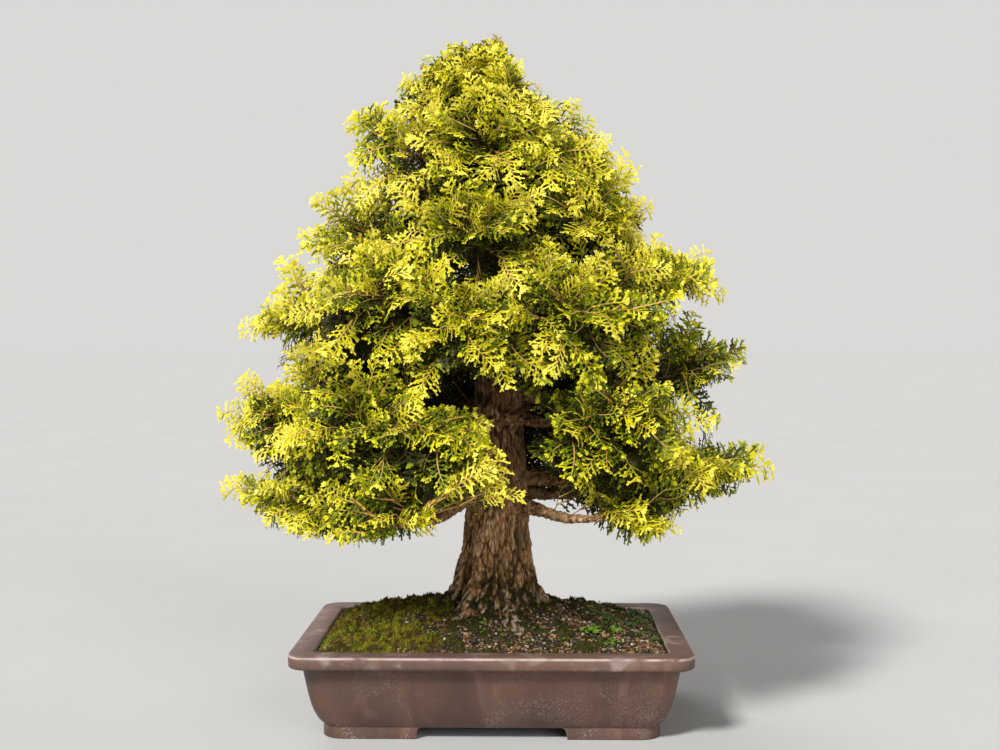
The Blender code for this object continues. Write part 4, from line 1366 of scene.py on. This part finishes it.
def moundShare(x, y, halfX, halfY):
    # 0 at the crest to 1 at the wall: contours turn from the pot's rectangle into ellipses.
    u, v = x / halfX, y / halfY
    reach = math.hypot(u, v)
    if reach < 1e-6:
        return 0.0
    square = reach / max(abs(u), abs(v)) - 1
    share = reach
    for step in range(6):
        share -= (share + square * share**3 - reach) / (1 + 3 * square * share**2)
    return share


def moundHeight(share):
    return soil["edge"] + (soil["peak"] - soil["edge"]) * max(0.0, 1 - share * share) ** soil["shoulder"]


halfSoil = [pot[side] / 2 - innerInset(soil["edge"]) - soil["clear"] for side in ("length", "depth")]


def ripple(x, y, scale, layer):
    return noise.noise(Vector((x * scale, y * scale, layer)))


def mossShare(x, y):
    # Moss covers the left third, rings the trunk's foot and dots the rest.
    edge = ripple(x, y, 26, 0.3) * 0.045 + ripple(x, y, 90, 1.7) * 0.022
    left = smoothStep(-x + edge, 0.046, 0.070)
    patch = ripple(x, y, 48, 5.1) + 0.5 * ripple(x, y, 150, 2.2)
    away = math.hypot(x - 0.003, y)
    ring = (1 - smoothStep(away, 0.058, 0.092)) * smoothStep(patch, -0.16, 0.12)
    dots = smoothStep(patch, 0.13 - 0.12 * smoothStep(x, 0.10, 0.16), 0.34)
    bare = smoothStep(ripple(x, y, 44, 8.8), 0.22, 0.48)
    return max(left * (1 - 0.85 * bare), 0.85 * ring, 0.8 * dots)


def soilTop(x, y):
    share = moundShare(x, y, *halfSoil)
    z = moundHeight(min(1.0, share))
    fade = 1 - smoothStep(share, 0.90, 1.0)
    lumps = ripple(x, y, 40, 2.0) + 0.5 * ripple(x, y, 130, 3.0)
    z += soil["lump"] * lumps * (0.35 + 0.65 * fade)
    dome = 0.5 + 0.5 * ripple(x, y, 60, 7.0)
    tufts = abs(ripple(x, y, 85, 6.0)) + 0.5 * abs(ripple(x, y, 200, 6.0))
    return z + mossShare(x, y) * (0.0004 + 0.0030 * dome + 0.0095 * tufts) * (0.3 + 0.7 * fade)


def anywhere(rng):
    return rng.uniform(-1, 1) * halfSoil[0] * 0.985, rng.uniform(-1, 1) * halfSoil[1] * 0.975


def soilMaterial():
    material, tree, shader, place = newMaterial("soil", soil["roughness"], soil["specular"])
    crumbs = maskOf(tree, place, 260.0, 5.0, 0.38, 0.68, 0.3)
    earth = mixColour(tree, soil["dark"], soil["earth"], crumbs)
    tone = maskOf(tree, place, 90.0, 6.0, 0.42, 0.64, 0.3)
    green = mixColour(tree, moss["colours"]["dark"], moss["colours"]["light"], tone)
    # the moss turns deep green from x = -0.070 to -0.030, towards the trunk
    deepTowardsTrunk = rangeOf(tree, levelIn(tree, place, "X"), -0.070, -0.030, 0.0, 0.85)
    green = mixColour(tree, green, moss["colours"]["deep"], deepTowardsTrunk)
    mossy = rangeOf(tree, meshValue(tree, "moss"), 0.15, 0.55)
    put(tree, shader.inputs["Base Color"], mixColour(tree, earth, green, mossy))
    addGrain(tree, shader, place, 380.0, 1100.0, 0.5, 0.9, 0.003)
    return material


def buildSoil():
    bm = bmesh.new()
    bmesh.ops.create_grid(bm, x_segments=soil["across"], y_segments=soil["deep"], size=1.0)
    layer = bm.verts.layers.float.new("moss")
    corner = pot["innerCorner"] / halfSoil[0]
    for vert in bm.verts:
        u, v = vert.co.x, vert.co.y
        # square corners are drawn in to the pot's rounded ones
        pull = 1 - 0.30 * corner * smoothStep(min(abs(u), abs(v)), 0.90, 1.0)
        x, y = u * halfSoil[0] * pull, v * halfSoil[1] * pull
        vert.co = (x, y, soilTop(x, y))
        vert[layer] = mossShare(x, y)
    rim = [edge for edge in bm.edges if edge.is_boundary]
    grown = bmesh.ops.extrude_edge_only(bm, edges=rim)["geom"]
    # the body tapers, so the hidden lower edge is drawn in
    for item in grown:
        if isinstance(item, bmesh.types.BMVert):
            item.co = (item.co.x * 0.955, item.co.y * 0.935, soil["bottom"])
    bmesh.ops.contextual_create(bm, geom=[item for item in grown if isinstance(item, bmesh.types.BMEdge)])
    steadyOrder(bm)
    finishPiece("soil_mound", bm, soilMaterial(), ("soil",))


def joinTones(kind, heaps, colours, surface):
    # One piece for each colour.
    for name, colour in colours.items():
        label = f"{kind}_{name}"
        joinHeap(label, heaps[name], plainMaterial(label, surface, colour))


def stoneShapes():
    # A few crushed stones, each an uneven ball of twenty faces.
    shapes = []
    for seed in range(grit["shapes"]):
        bm = bmesh.new()
        bmesh.ops.create_icosphere(bm, subdivisions=1, radius=1.0)
        rng = random.Random(seed)
        squash = Vector((rng.uniform(0.75, 1.2), rng.uniform(0.7, 1.1), rng.uniform(0.5, 0.85)))
        for vert in bm.verts:
            vert.co = vert.co * (1 + rng.uniform(-0.22, 0.18)) * squash
        bmesh.ops.triangulate(bm, faces=bm.faces)
        bm.verts.index_update()
        points = np.array([vert.co[:] for vert in bm.verts])
        shapes.append((points, [[vert.index for vert in face.verts] for face in bm.faces]))
        bm.free()
    return shapes


def scatterGrit():
    rng = random.Random(21)
    shapes = stoneShapes()
    stones = {name: ([], []) for name in grit["colours"]}
    axis = trunkAxis(0.11)
    placed = 0
    while placed < grit["count"]:
        x, y = anywhere(rng)
        if rng.random() < mossShare(x, y) * 1.10:
            continue
        z = soilTop(x, y)
        azimuth = math.degrees(math.atan2(y - axis.y, x - axis.x))
        if math.hypot(x - axis.x, y - axis.y) < trunkRadius(max(z, trunk["ground"]), azimuth) + 0.0008:
            continue
        placed += 1
        size = grit["smallest"] + (grit["largest"] - grit["smallest"]) * rng.random() ** 2.2
        if rng.random() < grit["pebbles"]:
            size *= grit["pebbleSize"]
        name = rng.choices(list(stones), grit["shares"])[0]
        points, faces = shapes[rng.randrange(len(shapes))]
        turn = rng.uniform(0, 2 * math.pi)
        cosine, sine = math.cos(turn), math.sin(turn)
        spin = np.array(((cosine, -sine, 0.0), (sine, cosine, 0.0), (0.0, 0.0, 1.0)))
        addFaces(stones[name], points @ spin.T * size + np.array((x, y, z + size * 0.25)), faces)
    joinTones("grit", stones, grit["colours"], "stone")


def growMoss():
    # Tiny blades over the cushions: bright on the crests, brown between them, deep green by the trunk.
    rng = random.Random(33)
    tones = {name: ([], []) for name in moss["colours"]}
    placed = 0
    while placed < moss["blades"]:
        x, y = anywhere(rng)
        if rng.random() > mossShare(x, y):
            continue
        placed += 1
        foot = Vector((x, y, soilTop(x, y) - moss["sunk"]))
        tuft = ripple(x, y, 120, 4.0) + 0.4 * ripple(x, y, 300, 4.0)
        deep = rng.random() < 0.85 * smoothStep(x, -0.072, -0.030)
        name = "deep" if deep else "light" if tuft + rng.uniform(-0.25, 0.25) > 0.02 else "dark"
        patch = ripple(x, y, 34, 9.0) + rng.uniform(-0.15, 0.15)
        if name == "light" and patch + 0.6 * smoothStep(-y, 0.0, 0.1) > 0.34:
            name = "bright"
        turn = rng.uniform(0, 2 * math.pi)
        height = moss["height"] * rng.uniform(0.5, 1.15) * (1 + 0.9 * tuft)
        side = Vector((math.cos(turn), math.sin(turn), 0.0)) * (moss["width"] / 2)
        lean = Vector((rng.uniform(-1, 1), rng.uniform(-1, 1), 0.0)) * (height * 0.55)
        tip = foot + lean + Vector((0, 0, height))
        addFaces(tones[name], [foot - side, foot + side, tip], [(0, 1, 2)])
    mossOnRoots(tones)
    joinTones("moss", tones, moss["colours"], "leaf")


def mossOnRoots(tones):
    # Dark tufts climb the trunk's foot, in patches, thickest in the hollows between the roots.
    rng = random.Random(34)
    placed = 0
    while placed < moss["onRoots"]:
        climbed = rng.random() ** 1.3
        level = moss["foot"] + moss["climb"] * climbed
        azimuth = rng.uniform(0, 360)
        outward = polar(azimuth)
        share = (level - trunk["ground"]) / (trunk["tip"] - trunk["ground"])
        ribs = buttress(level, math.radians(azimuth)) * (1 - share ** 0.87)
        point = trunkAxis(level) + outward * (trunkRadius(level, azimuth) + ribs)
        relief, rise = barkRelief(point, trunkScale(level))[::2]
        patch = noise.noise(point * moss["patch"]) + 0.5 * noise.noise(point * (2.7 * moss["patch"]))
        onRoot = smoothStep(trunkRadius(level, azimuth) - trunkCore(level), 0.002, 0.008)
        if patch < 0.80 * climbed - 0.50 + 0.55 * onRoot + 0.30 * (rise - 0.5):
            continue
        placed += 1
        tone = rng.random()
        speck = "dark" if tone < 0.88 else "light" if tone < 0.95 else "bright"
        height = moss["height"] * rng.uniform(0.6, 1.3)
        side = Vector((-outward.y, outward.x, rng.uniform(-0.6, 0.6))).normalized() * (moss["width"] / 2)
        foot = point + outward * (relief - moss["sunk"])
        ahead = outward * rng.uniform(0.3, 0.9) + Vector((0, 0, 1)) * rng.uniform(0.1, 0.9)
        tip = foot + ahead * height + side * rng.uniform(-1, 1)
        addFaces(tones["deep" if tone < 0.76 else speck], [foot - side, foot + side, tip], [(0, 1, 2)])


def dropLitter():
    # Dry scales and bits of bark between the stones.
    rng = random.Random(8)
    tones = {name: ([], []) for name in litter["colours"]}
    for number in range(litter["count"]):
        x = rng.uniform(-0.45, 1.0) * halfSoil[0] * 0.97
        y = rng.uniform(-1, 1) * halfSoil[1] * 0.96
        heap = tones[rng.choice(("brown", "brown", "tan"))]
        turn = rng.uniform(0, 2 * math.pi)
        cosine, sine = math.cos(turn), math.sin(turn)
        ahead = Vector((cosine, sine, rng.uniform(-0.2, 0.35))) * litter["length"] * rng.uniform(0.4, 1)
        side = Vector((-sine, cosine, rng.uniform(-0.4, 0.4))) * litter["width"] * rng.uniform(0.3, 1)
        middle = Vector((x, y, soilTop(x, y) + litter["above"]))
        points = [middle - ahead * 0.5, middle + side * 0.5, middle + ahead * 0.5, middle - side * 0.5]
        addFaces(heap, points, [(0, 3, 1), (3, 2, 1)])
    joinTones("litter", tones, litter["colours"], "leaf")


def growSprouts(name, area, plants, leaves, size, green):
    # Low plants of round leaves on short stalks.
    rng = random.Random(name)
    heap = [], []
    for plant in range(plants):
        x, y = rng.uniform(area[0], area[1]), rng.uniform(area[2], area[3])
        ground = soilTop(x, y)
        stalk = Vector((x, y, ground - leaflet["rooted"]))
        for leaf in range(leaves):
            turn = 2.4 * leaf + rng.uniform(-0.5, 0.5)
            out = leaflet["spread"] * size * math.sqrt((leaf + 0.4) / leaves)
            high = leaflet["height"] * size * rng.uniform(0.5, 1.1)
            middle = Vector((x + out * math.cos(turn), y + out * math.sin(turn), ground + high))
            radius = leaflet["radius"] * size * rng.uniform(0.7, 1.15)
            tilt = Vector((rng.uniform(-0.5, 0.5), rng.uniform(-0.8, 0.2), 1.0)).normalized()
            side, ahead = crossFrame(tilt)
            points = []
            for k in range(8):
                angle = math.pi * k / 4
                reach = radius * (1.0 if k % 2 else 0.82)
                points.append(middle + (side * math.cos(angle) + ahead * math.sin(angle)) * reach)
            points.append(middle - tilt * radius * 0.25)
            points += [stalk - side * leaflet["stalk"], stalk + side * leaflet["stalk"]]
            ring = [(k, (k + 1) % 8, 8) for k in range(8)]
            if side.cross(ahead).dot(tilt) < 0:
                ring = [(b, a, c) for a, b, c in ring]
            addFaces(heap, points, [*ring, (9, 10, 8)])
    joinHeap(name + "_plants", heap, plainMaterial(name + "_leaf", "leaf", green))


buildSoil()
scatterGrit()
growMoss()
dropLitter()
for name, row in sprouts.items():
    growSprouts(name, *row)
print("soil done")


# Stage: a pale floor, soft lights and the photo's camera

stage = {
    "floor": (0.4835, 0.478, 0.4680), "floorRadius": 60.0,
    "backdrop": (0.86, 0.853, 0.833), "ambient": 0.30, "shown": 0.810,
}
lights = {
    # degrees, degrees, strength
    "key": {"turn": (48.0, 0.0, -36.0), "spread": 12.0, "power": 4.1},
    "fill": {"turn": (74.0, 0.0, 30.0), "spread": 40.0, "power": 1.35},
    "rim": {"turn": (-48.0, 0.0, 25.0), "spread": 30.0, "power": 1.0},
}


def buildFloor():
    bm = bmesh.new()
    bmesh.ops.create_circle(bm, cap_ends=True, segments=96, radius=stage["floorRadius"])
    floor = linked("floor", meshOf("floor", bm))
    floor.data.materials.append(plainMaterial("floor", "paper", stage["floor"]))


def buildWorld():
    # The camera sees the backdrop brighter than it lights the tree.
    world = bpy.data.worlds.new("studio")
    world.use_nodes = True
    tree = world.node_tree
    seen = addNode(tree, "ShaderNodeLightPath", {}).outputs["Is Camera Ray"]
    sources = {"Value": seen, "To Min": stage["ambient"], "To Max": stage["shown"]}
    strength = addNode(tree, "ShaderNodeMapRange", sources).outputs["Result"]
    backdrop = tree.nodes["Background"]
    put(tree, backdrop.inputs["Color"], (*stage["backdrop"], 1.0))
    put(tree, backdrop.inputs["Strength"], strength)
    bpy.context.scene.world = world


def buildLights():
    for name, row in lights.items():
        data = bpy.data.lights.new(name, "SUN")
        data.angle = math.radians(row["spread"])
        data.energy = row["power"]
        lamp = linked(name, data)
        lamp.location = (0.0, 0.0, 2.0)
        lamp.rotation_euler = [math.radians(turn) for turn in row["turn"]]


def buildCamera():
    data = bpy.data.cameras.new("camera")
    data.lens = camera["lens"]
    data.sensor_width = 36.0
    holder = linked("camera", data)
    holder.location = camera["at"]
    holder.rotation_euler = (math.radians(camera["tilt"]), 0.0, math.radians(camera["yaw"]))
    bpy.context.scene.camera = holder


buildFloor()
buildWorld()
buildLights()
buildCamera()
bpy.context.scene.view_settings.view_transform = "Standard"
print("stage done")
